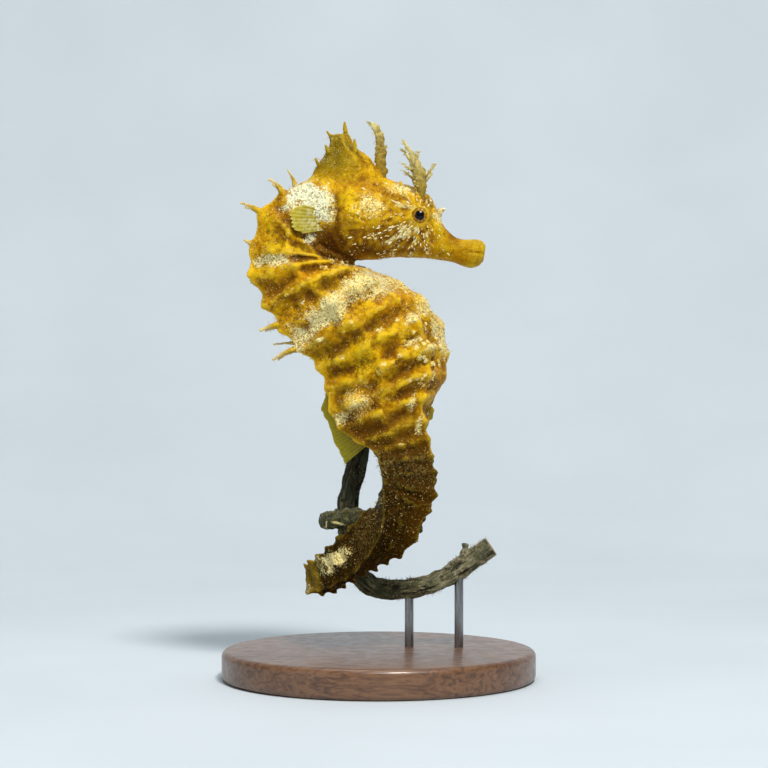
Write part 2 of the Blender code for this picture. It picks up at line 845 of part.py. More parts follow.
def build_stand(parts, cutters, wood, metal):
    place = BASE_CENTRE
    base = cylinder("stand_base", place, BASE_RADIUS, 0, BASE_THICKNESS, parts, BASE_SIDES)
    base.data.materials.append(wood)
    bevel = base.modifiers.new("edge", "BEVEL")
    bevel.width = BASE_EDGE * MM
    bevel.segments = 1
    bevel.limit_method = "ANGLE"
    branch = bpy.data.objects["perch_branch"]
    foot = BASE_THICKNESS - ROD_FOOT
    for index, (x, y, top) in enumerate(RODS, start=1):
        name = f"stand_rod_{index}"
        rod = cylinder(name, (x, y), ROD_RADIUS, foot, top, parts)
        rod.data.materials.append(metal)
        low = foot - ROD_CLEARANCE
        high = top + ROD_CLEARANCE
        bore = cylinder(name + "_bore", (x, y), ROD_RADIUS + ROD_CLEARANCE, low, high, cutters)
        hide_cutter(bore)
        boolean(base, bore, "DIFFERENCE")
        boolean(branch, bore, "DIFFERENCE")
    base.data.set_sharp_from_angle(angle=math.radians(30))


def main():
    fresh_scene()
    parts = collection("Seahorse")
    cutters = collection("Cutters")
    skin = material("skin", YELLOW, 0.55)
    tail_skin = material("tail_skin", OLIVE, 0.6)
    fins = material("fin", FIN_GREEN, 0.4)
    bark = material("bark", BARK, 0.85)
    wood = material("stand_wood", WALNUT, 0.4)
    metal = material("stand_metal", STEEL, 0.3, 1.0)
    eyes = material("eye", EYE_GOLD, 0.15)

    build_body(parts, cutters, skin, tail_skin)
    grown = body_mesh("grown_body", -14.0, 20.0, grow=GAP)
    grown_body = add_object("grown_body", grown, cutters)
    hide_cutter(grown_body)
    build_eyes(parts, cutters, eyes)
    build_nose_spine(cutters)
    build_crown(parts, grown_body, cutters, skin)
    build_filaments(parts, cutters, grown_body, skin)
    build_pectorals(parts, grown_body, fins)
    build_dorsal(parts, grown_body, fins)
    build_anal(parts, grown_body, fins)
    build_perch(parts, cutters, bark)
    build_stand(parts, cutters, wood, metal)


main()
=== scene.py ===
"""Looks of the short-snouted seahorse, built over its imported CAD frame.

Tables and dimensions are in millimetres. Ring numbers run as in the CAD: -14
is the mouth, 0 the nape, 1 to 11 the trunk, and 48 the tip of the tail. Corner
numbers run round one side of a ring, from 0 at the back to 4 at the belly, with
ridges at 1, 2 and 3. The right side of the animal, at -Y, faces the camera.
"""
import math

import bpy
import numpy as np
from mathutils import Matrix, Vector
from mathutils.kdtree import KDTree

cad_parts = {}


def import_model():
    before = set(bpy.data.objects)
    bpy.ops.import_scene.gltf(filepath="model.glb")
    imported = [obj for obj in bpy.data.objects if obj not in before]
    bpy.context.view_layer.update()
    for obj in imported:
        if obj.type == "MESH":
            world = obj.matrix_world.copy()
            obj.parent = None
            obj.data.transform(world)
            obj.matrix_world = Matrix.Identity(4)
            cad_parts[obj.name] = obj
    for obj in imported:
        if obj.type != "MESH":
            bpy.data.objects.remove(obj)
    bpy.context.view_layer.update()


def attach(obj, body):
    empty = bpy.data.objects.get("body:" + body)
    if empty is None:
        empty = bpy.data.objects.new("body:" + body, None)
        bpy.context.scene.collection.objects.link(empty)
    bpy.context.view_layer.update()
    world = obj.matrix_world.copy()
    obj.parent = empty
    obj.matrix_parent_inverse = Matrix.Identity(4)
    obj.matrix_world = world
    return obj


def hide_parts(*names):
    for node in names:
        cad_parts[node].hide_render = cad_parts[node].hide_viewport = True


MM = 0.001
RANDOM = np.random.default_rng(7)

# ---------------------------------------------------------------- the CAD's sizes

# Ring, back x and z, belly x and z, half width.
BODY_SECTIONS = (
    (-14.0, 14.8, 58.3, 14.4, 55.5, 1.1),
    (-13.0, 13.7, 58.8, 12.8, 54.9, 1.7),
    (-11.5, 11.3, 58.9, 10.3, 55.7, 1.6),
    (-10.0, 9.6, 60.1, 7.9, 56.1, 2.0),
    (-8.5, 8.4, 62.3, 5.2, 56.3, 2.8),
    (-7.0, 7.1, 64.8, 2.4, 56.3, 3.2),
    (-5.0, 3.1, 66.4, -1.1, 56.0, 3.5),
    (-3.0, -2.4, 67.9, -3.9, 56.25, 3.8),
    (-1.5, -6.5, 68.1, -5.5, 56.9, 3.6),
    (0.0, -9.9, 66.5, -6.9, 57.55, 3.2),
    (1.0, -12.3, 65.1, -7.2, 57.3, 3.3),
    (2.0, -15.1, 62.3, -7.1, 56.7, 3.5),
    (3.0, -16.2, 57.7, -5.9, 56.1, 3.9),
    (4.0, -16.6, 54.4, -3.9, 55.75, 4.35),
    (5.0, -14.9, 51.0, -1.3, 54.9, 4.8),
    (6.0, -13.1, 47.8, 2.6, 53.4, 5.25),
    (7.0, -10.8, 44.7, 6.2, 50.9, 5.6),
    (8.0, -8.1, 42.2, 8.8, 47.4, 5.8),
    (9.0, -6.8, 39.6, 9.7, 43.6, 5.8),
    (10.0, -6.3, 36.9, 9.4, 40.2, 5.5),
    (11.0, -5.3, 34.2, 7.9, 37.2, 5.0),
    (12.0, -2.9, 32.0, 7.3, 34.4, 4.4),
    (13.0, -0.3, 30.3, 7.5, 31.9, 4.0),
    (15.0, 0.8, 26.8, 8.1, 27.4, 3.75),
)
FIRST_RING = -14
TAIL_START = 15
LAST_RING = 48
# Length of each tail ring over that of the one before.
TAIL_RING_SHRINK = 0.976
# Where the line of the back turns to the right, how far and how steeply.
SWAY_START = 12
SWAY_REACH = 0.5
SWAY_SLOPE = 0.16
# The tail down to the stem: x, y, z and the angle of its back in degrees.
TAIL_REACH = (
    (3.3, -0.1, 31.1, 180),
    (4.45, -0.5, 27.1, 180),
    (3.9, -1.4, 24.0, 188),
    (2.5, -2.7, 21.4, 197),
    (0.1, -3.0, 19.1, 216),
    (-3.3, -1.6, 16.4, 242),
)
# The coil's axis, and round it the angle in degrees, distance and height.
COIL_AXIS = (-3.3, 4.0)
TAIL_COIL = (
    (-125, 4.5, 14.5),
    (-165, 4.3, 13.2),
    (-205, 4.1, 13.3),
    (-250, 3.9, 14.1),
    (-290, 4.3, 15.4),
    (-330, 4.2, 17.3),
    (-375, 3.3, 19.7),
    (-415, 2.9, 21.3),
    (-455, 3.1, 21.6),
    (-500, 3.2, 21.2),
    (-545, 3.2, 21.0),
    (-600, 3.0, 21.2),
    (-660, 2.8, 21.8),
)
AIM_STEP = 0.2
TAIL_START_DEPTH = 3.66
# Length along the tail, half thickness.
TAIL_THICKNESS = (
    (0.0, 3.75),
    (3.2, 3.55),
    (6.5, 3.2),
    (10.0, 2.75),
    (15.0, 2.5),
    (18.5, 2.2),
    (22.0, 1.95),
    (28.0, 1.7),
    (34.0, 1.4),
    (40.0, 1.3),
    (48.0, 1.1),
    (53.0, 0.6),
)
# Corners of one side as shares of half depth and half width.
HEAD_CORNERS = ((1.0, 0.0), (0.74, 0.66), (0.0, 1.0), (-0.7, 0.64), (-1.0, 0.0))
TRUNK_CORNERS = ((0.9, 0.0), (0.96, 0.52), (0.08, 1.0), (-0.66, 0.78), (-1.0, 0.0))
TAIL_CORNERS = ((0.86, 0.0), (0.92, 0.9), (0.0, 0.86), (-0.92, 0.9), (-0.86, 0.0))
# Ring, length and lean towards the tail in degrees of each pair of back spines.
# The two lowest pairs are longer and lower than the CAD's, by less than 1 mm.
BACK_SPINES = (
    (1, 2.7, 13),
    (2, 3.2, 11),
    (3, 1.7, -25),
    (6.2, 3.0, -6),
    (7.17, 4.0, 6),
)
LEFT_SPINE_SCALE = 0.88
EYE_CENTRE = (5.9, 2.05, 61.7)
EYE_PLACE = (EYE_CENTRE[0], EYE_CENTRE[2])
EYE_RADIUS = 1.5
# Eye turret, gill cover and brow: x, z, radius, height.
HEAD_SWELLINGS = (
    (5.9, 61.7, 2.3, 0.45),
    (-0.4, 60.6, 3.4, 0.55),
    (5.4, 64.6, 1.2, 0.45),
)
# Height, front x, rear x, half width of the crown.
CROWN_SECTIONS = (
    (65.2, -0.2, -8.6, 2.5),
    (66.4, -0.2, -8.6, 2.5),
    (68.2, -0.3, -8.1, 2.4),
    (69.6, -0.8, -7.0, 1.9),
    (71.0, -2.5, -6.2, 1.4),
    (72.2, -3.2, -5.9, 1.0),
    (72.8, -3.5, -5.5, 0.6),
)
# Root and tip of each point of the crown, and of the spine over the snout.
CROWN_MIDDLE_POINTS = (
    ((-3.9, 0.0, 71.0), (-4.1, 0.0, 74.5)),
    ((-5.2, 0.0, 71.4), (-6.5, 0.0, 73.2)),
)
CROWN_PAIRED_POINTS = (
    ((-3.0, 0.5, 69.5), (-2.7, 1.5, 72.0)),
    ((-5.6, 0.4, 69.3), (-6.6, 1.1, 71.3)),
    ((-6.6, 0.6, 67.6), (-7.9, 1.7, 69.4)),
)
NOSE_SPINE = ((7.4, 0.0, 61.0), (9.2, 0.0, 62.9))
# Branches of the filaments: places along each one, and its radius.
CROWN_FILAMENT = (
    (((0.6, 0, 66.0), (0.7, 0.1, 70.7), (0.4, 0, 73.2), (-0.6, 0, 74.3)), 0.42),
    (((0.6, 0.1, 70.2), (1.5, 0.3, 71.2)), 0.28),
)
BROW_FILAMENT = (
    (((5.8, 2.0, 63.4), (6.1, 2.6, 66.0), (5.3, 2.7, 69.0), (3.6, 2.6, 71.8)), 0.5),
    (((6.0, 2.6, 66.2), (7.2, 2.9, 67.4), (7.9, 3.0, 68.5)), 0.32),
    (((5.6, 2.65, 68.0), (5.7, 2.9, 70.2)), 0.28),
    (((5.4, 2.6, 67.2), (3.7, 2.4, 68.7)), 0.28),
)
LEFT_BROW_SCALE = 0.9
PECTORAL_ROOTS = ((-7.6, 3.0, 62.6), (-7.3, 3.0, 59.8))
PECTORAL_TIPS = ((-10.1, 4.4, 63.2), (-10.3, 4.5, 59.2))
PECTORAL_BOW = 0.9
# First and last ring at the foot of each fin, and x and z along the dorsal's edge.
DORSAL_SPAN = (9.4, 12.4)
DORSAL_TIPS = ((-7.6, 37.7), (-7.0, 35.7), (-6.1, 33.9), (-5.3, 31.6), (-4.0, 28.8))
ANAL_SPAN = (11.2, 11.9)
STEM_RADIUS = 1.45
STEM_PATH = (
    (15.6, 2.9, 17.6),
    (12.7, 3.2, 15.6),
    (9.3, 3.6, 13.3),
    (6.0, 3.9, 12.1),
    (2.7, 4.0, 11.7),
    (-0.6, 3.9, 12.3),
    (-2.7, 3.8, 14.6),
    (-3.4, 3.9, 17.3),
    (-3.7, 4.0, 20.7),
    (-3.6, 4.2, 24.0),
    (-2.8, 5.0, 27.3),
    (-2.2, 6.4, 30.4),
    (-1.9, 7.6, 33.0),
)
TWIG = ((11.2, 3.4, 14.6), (12.0, 2.6, 16.6), (12.1, 2.3, 18.0))
BASE_RADIUS = 21.0
BASE_THICKNESS = 4.0
BASE_EDGE = 0.8
BASE_CENTRE = (0.5, 1.5)
ROD_RADIUS = 0.6
ROD_FOOT = 2.0
# x, y and top of each rod.
RODS = ((4.6, 3.95, 11.9), (11.3, 3.35, 14.65))

# ---------------------------------------------------------------- the skin's sizes

SKIN_VOXEL = 0.13
# Rows of the loft between two rings, where the trunk's rows end, and points of half a row.
HEAD_STEPS = 12
TRUNK_STEPS = 26
TAIL_STEPS = 14
TRUNK_END = 12
HALF_LOOP = 96
# Rib, knob, keel and hollow of the armour: height on the trunk, and on the
# tail as a share of its half width.
ARMOUR_HEIGHTS = ((0.46, 0.07), (0.42, 0.17), (0.14, 0.03), (0.34, 0.06))
TOOTH_HEIGHT = 0.14
SPINE_SPLAY = 0.18
SPINE_BEND = 0.16
ANAL_LENGTH = 0.378

# Side view marks: x, z, half length, half height, tilt in degrees, strength.
WHITE_PATCHES = (
    (-9.3, 64.4, 3.2, 2.4, 12, 1.0),
    (-6.8, 62.9, 1.6, 3.0, 8, 1.0),
    (-8.3, 58.9, 1.1, 1.2, -10, 0.8),
    (-0.8, 63.2, 2.3, 1.8, -14, 0.72),
    (3.8, 65.2, 2.0, 0.9, -18, 0.95),
    (8.6, 61.9, 0.9, 1.3, -45, 1.0),
    (-13.2, 55.8, 3.2, 0.9, 4, 0.85),
    (-5.8, 49.5, 5.8, 1.9, 42, 0.88),
    (-0.8, 52.9, 4.0, 2.1, 12, 0.95),
    (3.0, 53.0, 2.8, 1.0, -28, 0.65),
    (-9.8, 45.6, 2.6, 1.9, 30, 0.75),
    (7.0, 49.9, 2.2, 1.4, -52, 0.85),
    (8.8, 46.0, 1.1, 3.6, 16, 0.8),
    (5.4, 48.4, 2.0, 0.8, 24, 0.8),
    (4.9, 45.0, 1.4, 0.5, 30, 0.7),
    (7.8, 44.6, 1.6, 0.5, 25, 0.7),
    (0.5, 46.6, 1.0, 0.4, 25, 0.6),
    (-2.2, 37.1, 2.6, 1.8, 42, 0.55),
    (-4.5, 34.9, 1.3, 1.0, 50, 0.8),
    (4.8, 36.9, 0.5, 1.3, -15, 0.75),
    (5.8, 34.0, 0.4, 1.2, -10, 0.75),
    (5.6, 40.1, 1.4, 0.3, 10, 0.6),
    (-5.7, 16.1, 2.6, 1.3, 33, 1.0),
    (-9.4, 12.9, 0.5, 1.2, 10, 0.6),
    # The next two rows are painted highlights: thin pale lines on the tail's second turn, one across it
    # and one along its left edge.
    (-4.9, 21.0, 1.2, 0.14, -14, 1.0),
    (-6.6, 21.0, 0.16, 0.9, 0, 0.9),
)
# Painted highlights: the brightest glints, in streaks under and behind the eye.
GLINT_PATCHES = (
    (3.8, 60.0, 1.2, 0.30, 38, 1.0),
    (4.5, 59.6, 0.34, 0.7, -10, 1.0),
    (5.5, 59.8, 0.5, 0.42, -20, 1.0),
    (3.2, 59.0, 1.0, 0.24, 32, 1.0),
    (2.2, 58.6, 1.1, 0.26, 35, 0.9),
    (6.9, 59.3, 0.20, 0.5, -25, 0.7),
    (5.4, 58.5, 0.16, 0.45, -15, 0.7),
    (3.4, 63.3, 1.2, 0.16, -14, 0.7),
    (4.2, 63.0, 1.0, 0.13, -30, 0.7),
)
# Painted shade, as darker brown: the throat's recess, under the big knob, hollows and creases, along the
# back and over the lower trunk.
PAINTED_SHADE_PATCHES = (
    (-14.2, 51.6, 2.4, 1.3, 20, 0.7),
    (-15.2, 48.2, 1.6, 0.9, 10, 0.5),
    (-5.2, 57.9, 2.2, 0.9, -18, 1.0),
    (-5.2, 56.7, 3.6, 1.1, -22, 1.0),
    (-6.3, 58.7, 1.9, 1.5, -20, 0.9),
    (-1.8, 57.0, 5.0, 0.9, -4, 0.95),
    (-3.6, 58.6, 1.6, 0.4, 55, 0.7),
    (-11.8, 60.6, 2.4, 0.7, -24, 0.55),
    (-12.4, 52.0, 2.8, 1.2, 14, 0.7),
    (-9.2, 50.6, 1.8, 0.7, 30, 0.7),
    (-5.0, 44.2, 1.8, 1.0, 14, 1.0),
    (-7.3, 45.4, 2.0, 0.9, 24, 0.85),
    (6.0, 40.1, 1.5, 0.8, 15, 0.7),
    (-4.7, 37.3, 0.9, 1.1, 30, 0.6),
    (-1.6, 46.6, 2.2, 0.6, 35, 0.9),
    (-2.6, 33.7, 2.8, 1.0, 10, 0.9),
    (4.6, 42.2, 3.2, 0.7, 12, 0.8),
    (7.6, 39.6, 2.4, 0.8, 10, 0.75),
    (2.2, 34.8, 2.6, 1.2, 15, 0.85),
    (9.0, 36.4, 0.8, 2.4, 10, 0.6),
    (6.9, 64.2, 0.6, 1.3, 10, 0.8),
    (-4.2, 38.9, 1.5, 0.8, 30, 0.8),
    (1.2, 38.9, 2.6, 0.6, 20, 0.7),
    (-6.9, 38.2, 0.7, 1.6, 10, 0.7),
)
# Reddish brown of the throat and lower cheek: painted shade in the throat and behind the gill cover, and
# the lower cheek's own colour.
RED_PATCHES = (
    (-4.6, 60.2, 1.5, 2.4, 8, 0.9),
    (0.2, 59.6, 1.2, 1.8, 25, 0.7),
    (2.6, 59.0, 5.4, 2.3, -4, 0.85),
    (-5.2, 58.9, 2.6, 2.4, -25, 1.0),
    (-5.2, 56.8, 3.6, 1.1, -22, 1.0),
    (-2.8, 59.3, 1.0, 2.2, 10, 0.8),
    (-1.5, 57.6, 3.0, 1.1, -6, 0.9),
    (3.0, 57.4, 3.6, 0.8, -4, 0.7),
    (1.6, 60.8, 2.0, 0.7, 20, 0.5),
    (5.2, 60.8, 1.6, 0.5, -12, 0.5),
)
# Warm orange areas.
ORANGE_PATCHES = (
    (11.5, 56.0, 3.0, 0.9, -4, 0.9),
    (3.0, 67.0, 2.6, 1.2, -30, 0.6),
    (6.0, 57.2, 4.0, 1.0, -4, 0.7),
    (3.0, 50.8, 4.0, 1.3, 25, 0.8),
    (8.0, 40.5, 2.2, 2.4, 10, 0.7),
    (-9.0, 54.0, 3.4, 1.2, 18, 0.7),
)
# Clear yellow areas.
YELLOW_PATCHES = (
    (-3.3, 63.3, 1.5, 2.0, 0, 1.0),
    (2.2, 65.6, 2.6, 0.7, -30, 0.9),
    (8.4, 60.2, 1.1, 1.0, -40, 0.8),
    (12.6, 58.2, 2.2, 0.7, -4, 0.5),
    (-11.5, 57.6, 3.0, 0.6, -8, 0.9),
    (1.5, 46.0, 2.6, 0.7, 35, 0.7),
    (-1.0, 41.6, 2.6, 0.8, 25, 0.6),
    (6.4, 49.0, 2.2, 0.9, -20, 0.7),
)
# Knobs where the ridges cross: x, z, radius, height.
FLANK_KNOBS = (
    (-9.5, 50.2, 0.9, 0.45),
    (-4.4, 48.4, 0.8, 0.40),
    (-7.2, 45.3, 1.0, 0.50),
    (-4.3, 43.0, 0.9, 0.50),
    (-2.4, 36.9, 1.8, 1.0),
    (1.2, 51.1, 0.8, 0.35),
    (2.9, 47.9, 0.8, 0.35),
    (0.6, 46.3, 0.8, 0.40),
    (5.5, 44.4, 0.8, 0.45),
    (3.2, 43.2, 0.7, 0.40),
    (1.2, 42.1, 0.8, 0.40),
    (5.5, 40.1, 0.7, 0.40),
    (4.4, 36.7, 0.9, 0.45),
    (5.9, 34.1, 0.9, 0.50),
)
# Middle line of the folded throat, from the neck out to its free end.
THROAT_LINE = (
    (-8.6, 0.0, 57.9),
    (-6.6, 0.0, 57.0),
    (-4.6, 0.0, 56.3),
    (-2.7, 0.0, 55.75),
)
# Root and tip of each thin short spine.
SMALL_SPINES = (
    ((-10.6, -0.6, 65.9), (-11.7, -0.9, 68.1)),
    ((-9.4, -1.2, 44.9), (-13.4, -1.7, 44.75)),
)
# Root, tip, radii at both, bend and seed of the fleshy feet of the filaments.
BROW_FEET = (
    ((5.4, 1.7, 62.8), (6.05, 2.5, 65.9), (1.3, 0.16), (0.0, 0.1, 0.0), 11),
    ((3.6, 1.4, 64.4), (3.4, 1.9, 66.4), (0.9, 0.2), (0.0, 0.0, 0.0), 12),
)
CROWN_FOOT = ((0.2, 0.0, 65.0), (0.7, 0.0, 69.2), (1.9, 0.12), (0.0, 0.0, 0.0), 13)
WART_SPACING = 1.0
WART_HEIGHT = 0.20
PIMPLE_SPACING = 0.36
PIMPLE_HEIGHT = 0.05
GRAIN_HEIGHT = 0.06
GILL_CENTRE = (-0.4, 60.6)
GILL_RADIUS = 4.6
# Side threads for each place along a filament, and the thickness along one.
FRINGE = 9
FRINGE_SHAPE = (1.3, 1.0, 0.8, 0.7, 0.75, 0.95, 0.5)
FRINGE_SIDES = 6
FILAMENT_SIDES = 18
# Share of a filament's length, half width there.
CROWN_WIDTHS = ((0.0, 1.15), (0.15, 0.85), (0.3, 0.70), (0.55, 0.60), (0.8, 0.42), (1.0, 0.24))
BROW_WIDTHS = ((0.0, 0.62), (0.22, 0.58), (0.42, 0.78), (0.62, 0.55), (0.82, 0.28), (1.0, 0.12))
LID_RADIUS = 1.62
EYE_OPENING = 0.90
# No small shapes stand this near the middle of the eye.
EYE_CLEARANCE = 1.75
# Share of the radius, rise and bark height of the loops over a sawn end.
SAWN_LOOPS = ((0.72, 0.03, -0.2), (0.36, 0.05, 0.1))
BARK_COLUMNS = 120
# Height and radius up the small shapes that stand on the skin.
DOME = ((-0.5, 1.0), (0.35, 0.85), (0.8, 0.5))
THREAD = ((-0.2, 1.0), (0.3, 0.8), (0.65, 0.55), (0.9, 0.35))
THREAD_RADIUS = 0.028
HAIR_RADIUS = 0.045
FIBRE_RADIUS = 0.036
DASH_COUNT = 560
GLINT_COUNT = 170
PAPILLA_COUNT = 6200
THREAD_COUNT = 2600
HAIR_COUNT = 430
FIBRE_COUNT = 2200
# Width of one small shape's patch on the bake map.
BAKE_PATCH = 0.003

BODY_NODES = (
    "snout", "head", "neck", "trunk_upper", "trunk_middle", "trunk_lower",
    "tail_1", "tail_2", "tail_3", "tail_4", "tail_5", "tail_6",
)

# ---------------------------------------------------------------- the stage's sizes

FLOOR_FRONT = -700
FLOOR_SIDE = 2000
WALL_START = 150
WALL_CURVE = 260
WALL_TOP = 1800
# Name, place, size, power and colour.
LIGHTS = (
    ("key", (160, -470, 620), 150, 5.9, (1.0, 0.98, 0.95)),
    ("fill", (-620, -520, 200), 500, 0.6, (0.95, 0.98, 1.0)),
    ("top", (-60, 80, 700), 420, 1.6, (0.98, 0.99, 1.0)),
)
LIGHT_AIM = (0, 0, 40)
CAMERA_PLACE = (1.2, -284.4, 39.5)
CAMERA_LENS = 100.0


# ---------------------------------------------------------------- curves

def spline(rows, at):
    """Values of a table at one key, on a smooth curve through its rows."""
    last = len(rows) - 2
    span = 0
    while span < last and at > rows[span + 1][0]:
        span += 1
    low, high = rows[span], rows[span + 1]
    width = high[0] - low[0]
    share = (at - low[0]) / width
    before = rows[max(span - 1, 0)]
    after = rows[min(span + 2, last + 1)]
    values = []
    for column in range(1, len(low)):
        slope_low = (high[column] - before[column]) / (high[0] - before[0]) * width
        slope_high = (after[column] - low[column]) / (after[0] - low[0]) * width
        step = high[column] - low[column]
        bend = (3 * step - 2 * slope_low - slope_high) * share ** 2
        twist = (slope_low + slope_high - 2 * step) * share ** 3
        values.append(low[column] + slope_low * share + bend + twist)
    return values


def smooth_path(points, count):
    """Evenly keyed points on a smooth curve through a few given ones."""
    rows = [(index, *point) for index, point in enumerate(points)]
    last = len(points) - 1
    return np.array([spline(rows, last * step / count) for step in range(count + 1)])


def full_turn(count):
    """Evenly spaced angles once round."""
    return np.linspace(0, math.tau, count, endpoint=False)


def ease(at, low, high):
    """Smooth step from 0 at low to 1 at high."""
    share = np.clip((at - low) / (high - low), 0.0, 1.0)
    return share * share * (3 - 2 * share)


def band(at, start, full, falling, end):
    """Smooth rise from start to full, and smooth fall from falling to end."""
    return ease(at, start, full) * (1 - ease(at, falling, end))


def mix(low, high, share):
    return low + (high - low) * share


def bell(distance, width):
    return np.exp(-(distance / width) ** 2)


def unit(vectors):
    length = np.linalg.norm(vectors, axis=-1, keepdims=True)
    return vectors / np.maximum(length, 1e-9)


def tail_rows():
    """Tail line as rows of length along it, x, y, z and angle of the back."""
    stops = list(TAIL_REACH)
    for angle, distance, height in TAIL_COIL:
        turn = math.radians(angle)
        x = COIL_AXIS[0] + distance * math.cos(turn)
        y = COIL_AXIS[1] + distance * math.sin(turn)
        stops.append((x, y, height, angle + 360))
    rows = [(index - 1, *stop) for index, stop in enumerate(stops)]
    fine = [spline(rows, step / 12) for step in range(12 * (len(stops) - 2) + 1)]
    table = []
    length = 0.0
    for index, values in enumerate(fine):
        if index:
            length += (Vector(values[:3]) - Vector(fine[index - 1][:3])).length
        table.append((length, *values))
    return table


TAIL_LINE = tail_rows()
TAIL_LENGTH = TAIL_LINE[-1][0]


def tail_length_at(ring):
    """Rings grow shorter by one ratio, and together fill the tail's length."""
    count = LAST_RING - TAIL_START
    share = (1 - TAIL_RING_SHRINK ** (ring - TAIL_START)) / (1 - TAIL_RING_SHRINK ** count)
    return TAIL_LENGTH * share


class Section:
    """Frame and size of the body at one ring number, as in the CAD."""

    def __init__(self, ring):
        if ring <= TAIL_START:
            self.from_profile(ring)
        else:
            self.from_tail(ring)

    def from_profile(self, ring):
        back_x, back_z, belly_x, belly_z, width = spline(BODY_SECTIONS, ring)
        back = Vector((back_x, 0, back_z))
        belly = Vector((belly_x, 0, belly_z))
        sway = max(0.0, (ring - SWAY_START) / (TAIL_START - SWAY_START))
        self.centre = (back + belly) / 2 - Vector((0, SWAY_REACH * sway ** 2, 0))
        self.back = (back - belly).normalized()
        straight = self.back.cross(Vector((0, 1, 0)))
        self.along = (straight - Vector((0, SWAY_SLOPE * sway, 0))).normalized()
        self.side = self.along.cross(self.back)
        self.depth = (back - belly).length / 2
        self.width = width

    def from_tail(self, ring):
        at = tail_length_at(ring)
        x, y, z, angle = spline(TAIL_LINE, at)
        self.centre = Vector((x, y, z))
        ahead = Vector(spline(TAIL_LINE, min(at + AIM_STEP, TAIL_LENGTH))[:3])
        behind = Vector(spline(TAIL_LINE, max(at - AIM_STEP, 0.0))[:3])
        self.along = (ahead - behind).normalized()
        hint = Vector((math.cos(math.radians(angle)), math.sin(math.radians(angle)), 0))
        self.back = (hint - self.along * hint.dot(self.along)).normalized()
        self.side = self.along.cross(self.back)
        size = spline(TAIL_THICKNESS, min(at, TAIL_THICKNESS[-1][0]))[0]
        start = float(ease(ring, TAIL_START, TAIL_START + 2))
        self.depth = mix(TAIL_START_DEPTH, size, start)
        self.width = size


def corners_at(ring):
    """The five corners of the outline at one ring, from head to tail shape."""
    to_trunk = float(ease(ring, -2.0, 2.0))
    to_tail = float(ease(ring, 9.5, 14.0))
    shape = mix(np.array(HEAD_CORNERS), np.array(TRUNK_CORNERS), to_trunk)
    return mix(shape, np.array(TAIL_CORNERS), to_tail)


# ---------------------------------------------------------------- noise

def lattice(cells, seed):
    """A fixed random number from 0 to 1 for every cell of a grid."""
    cells = cells.astype(np.int64)
    key = cells[..., 0] * 73856093 ^ cells[..., 1] * 19349663 ^ cells[..., 2] * 83492791
    key = (key ^ (seed * 2654435761)) & 0x7FFFFFFF
    key = (key * 1103515245 + 12345) & 0x7FFFFFFF
    key = ((key >> 13) ^ key) * 1664525 & 0x7FFFFFFF
    return (key & 0xFFFFF) / 0xFFFFF


def value_noise(points, size, seed=0):
    """Smooth noise from -1 to 1 with features of about one size."""
    scaled = points / size
    base = np.floor(scaled)
    share = scaled - base
    share = share * share * (3 - 2 * share)
    total = 0.0
    for corner in np.ndindex(2, 2, 2):
        weight = 1.0
        for axis in range(3):
            part = share[..., axis]
            weight = weight * (part if corner[axis] else 1 - part)
        total = total + weight * lattice(base + np.array(corner), seed)
    return total * 2 - 1


def layered_noise(points, size, octaves=3, seed=0):
    total = 0.0
    for octave in range(octaves):
        total = total + value_noise(points, size / 2 ** octave, seed + octave) / 2 ** octave
    return total / (2 - 2 ** (1 - octaves))


def cell_distance(points, size, seed=0):
    """Distance to the nearest of scattered cell centres, in cell sizes."""
    scaled = points / size
    base = np.floor(scaled)
    nearest = np.full(scaled.shape[:-1], 9.0)
    for offset in np.ndindex(3, 3, 3):
        cell = base + np.array(offset) - 1
        centre = cell + np.stack([lattice(cell, seed + axis) for axis in range(3)], axis=-1)
        nearest = np.minimum(nearest, np.sum((scaled - centre) ** 2, axis=-1))
    return np.sqrt(nearest)


# ---------------------------------------------------------------- meshes

def mesh_object(name, points, faces, surface=None):
    """Smooth object from points in millimetres, and faces as an array or as lists."""
    mesh = bpy.data.meshes.new(name)
    if isinstance(faces, np.ndarray):
        faces = faces.tolist()
    mesh.from_pydata((points.reshape(-1, 3) * MM).tolist(), [], faces)
    mesh.update()
    if surface:
        mesh.materials.append(surface)
    mesh.shade_smooth()
    obj = bpy.data.objects.new(name, mesh)
    bpy.context.scene.collection.objects.link(obj)
    return obj


def grid_faces(rows, columns, closed):
    """Quads over a grid of points, its columns joined round if closed."""
    steps = columns if closed else columns - 1
    row, column = np.meshgrid(np.arange(rows - 1), np.arange(steps), indexing="ij")
    after = (column + 1) % columns
    start = row * columns
    below = start + columns
    quads = np.stack([start + column, start + after, below + after, below + column], axis=-1)
    return quads.reshape(-1, 4)


def tube(grid):
    """Points and faces of a closed tube from its grid of points, with both ends filled."""
    rows, columns = grid.shape[:2]
    faces = grid_faces(rows, columns, True).tolist()
    faces.append(list(range(columns))[::-1])
    last = (rows - 1) * columns
    faces.append(list(range(last, last + columns)))
    return grid.reshape(-1, 3), faces


def path_frames(points):
    """Direction along a path and two directions across it that don't twist."""
    along = unit(np.gradient(points, axis=0))
    first = np.cross(along[0], (0.31, 0.87, 0.12))
    across = [unit(first)]
    for direction in along[1:]:
        kept = across[-1] - direction * np.dot(across[-1], direction)
        across.append(unit(kept))
    across = np.array(across)
    return along, across, np.cross(along, across)


def rings_round(first, second, turn, wide, high):
    """Ellipses round a path, from two directions across it and the half size along each."""
    wide, high = (np.broadcast_to(size, len(first))[:, None, None] for size in (wide, high))
    ring = first[:, None] * np.cos(turn)[None, :, None] * wide
    return ring + second[:, None] * np.sin(turn)[None, :, None] * high


def sweep(points, radii, sides=10, flatness=1.0, lumps=0.0, seed=0):
    """Points and faces of a round tube with a radius at each path point."""
    along, across, upright = path_frames(points)
    ring = rings_round(across, upright, full_turn(sides), radii, radii * flatness)
    grid = points[:, None] + ring
    if lumps:
        grid = grid + ring * (layered_noise(grid, 0.7, 2, seed)[..., None] * lumps)
    return tube(grid)


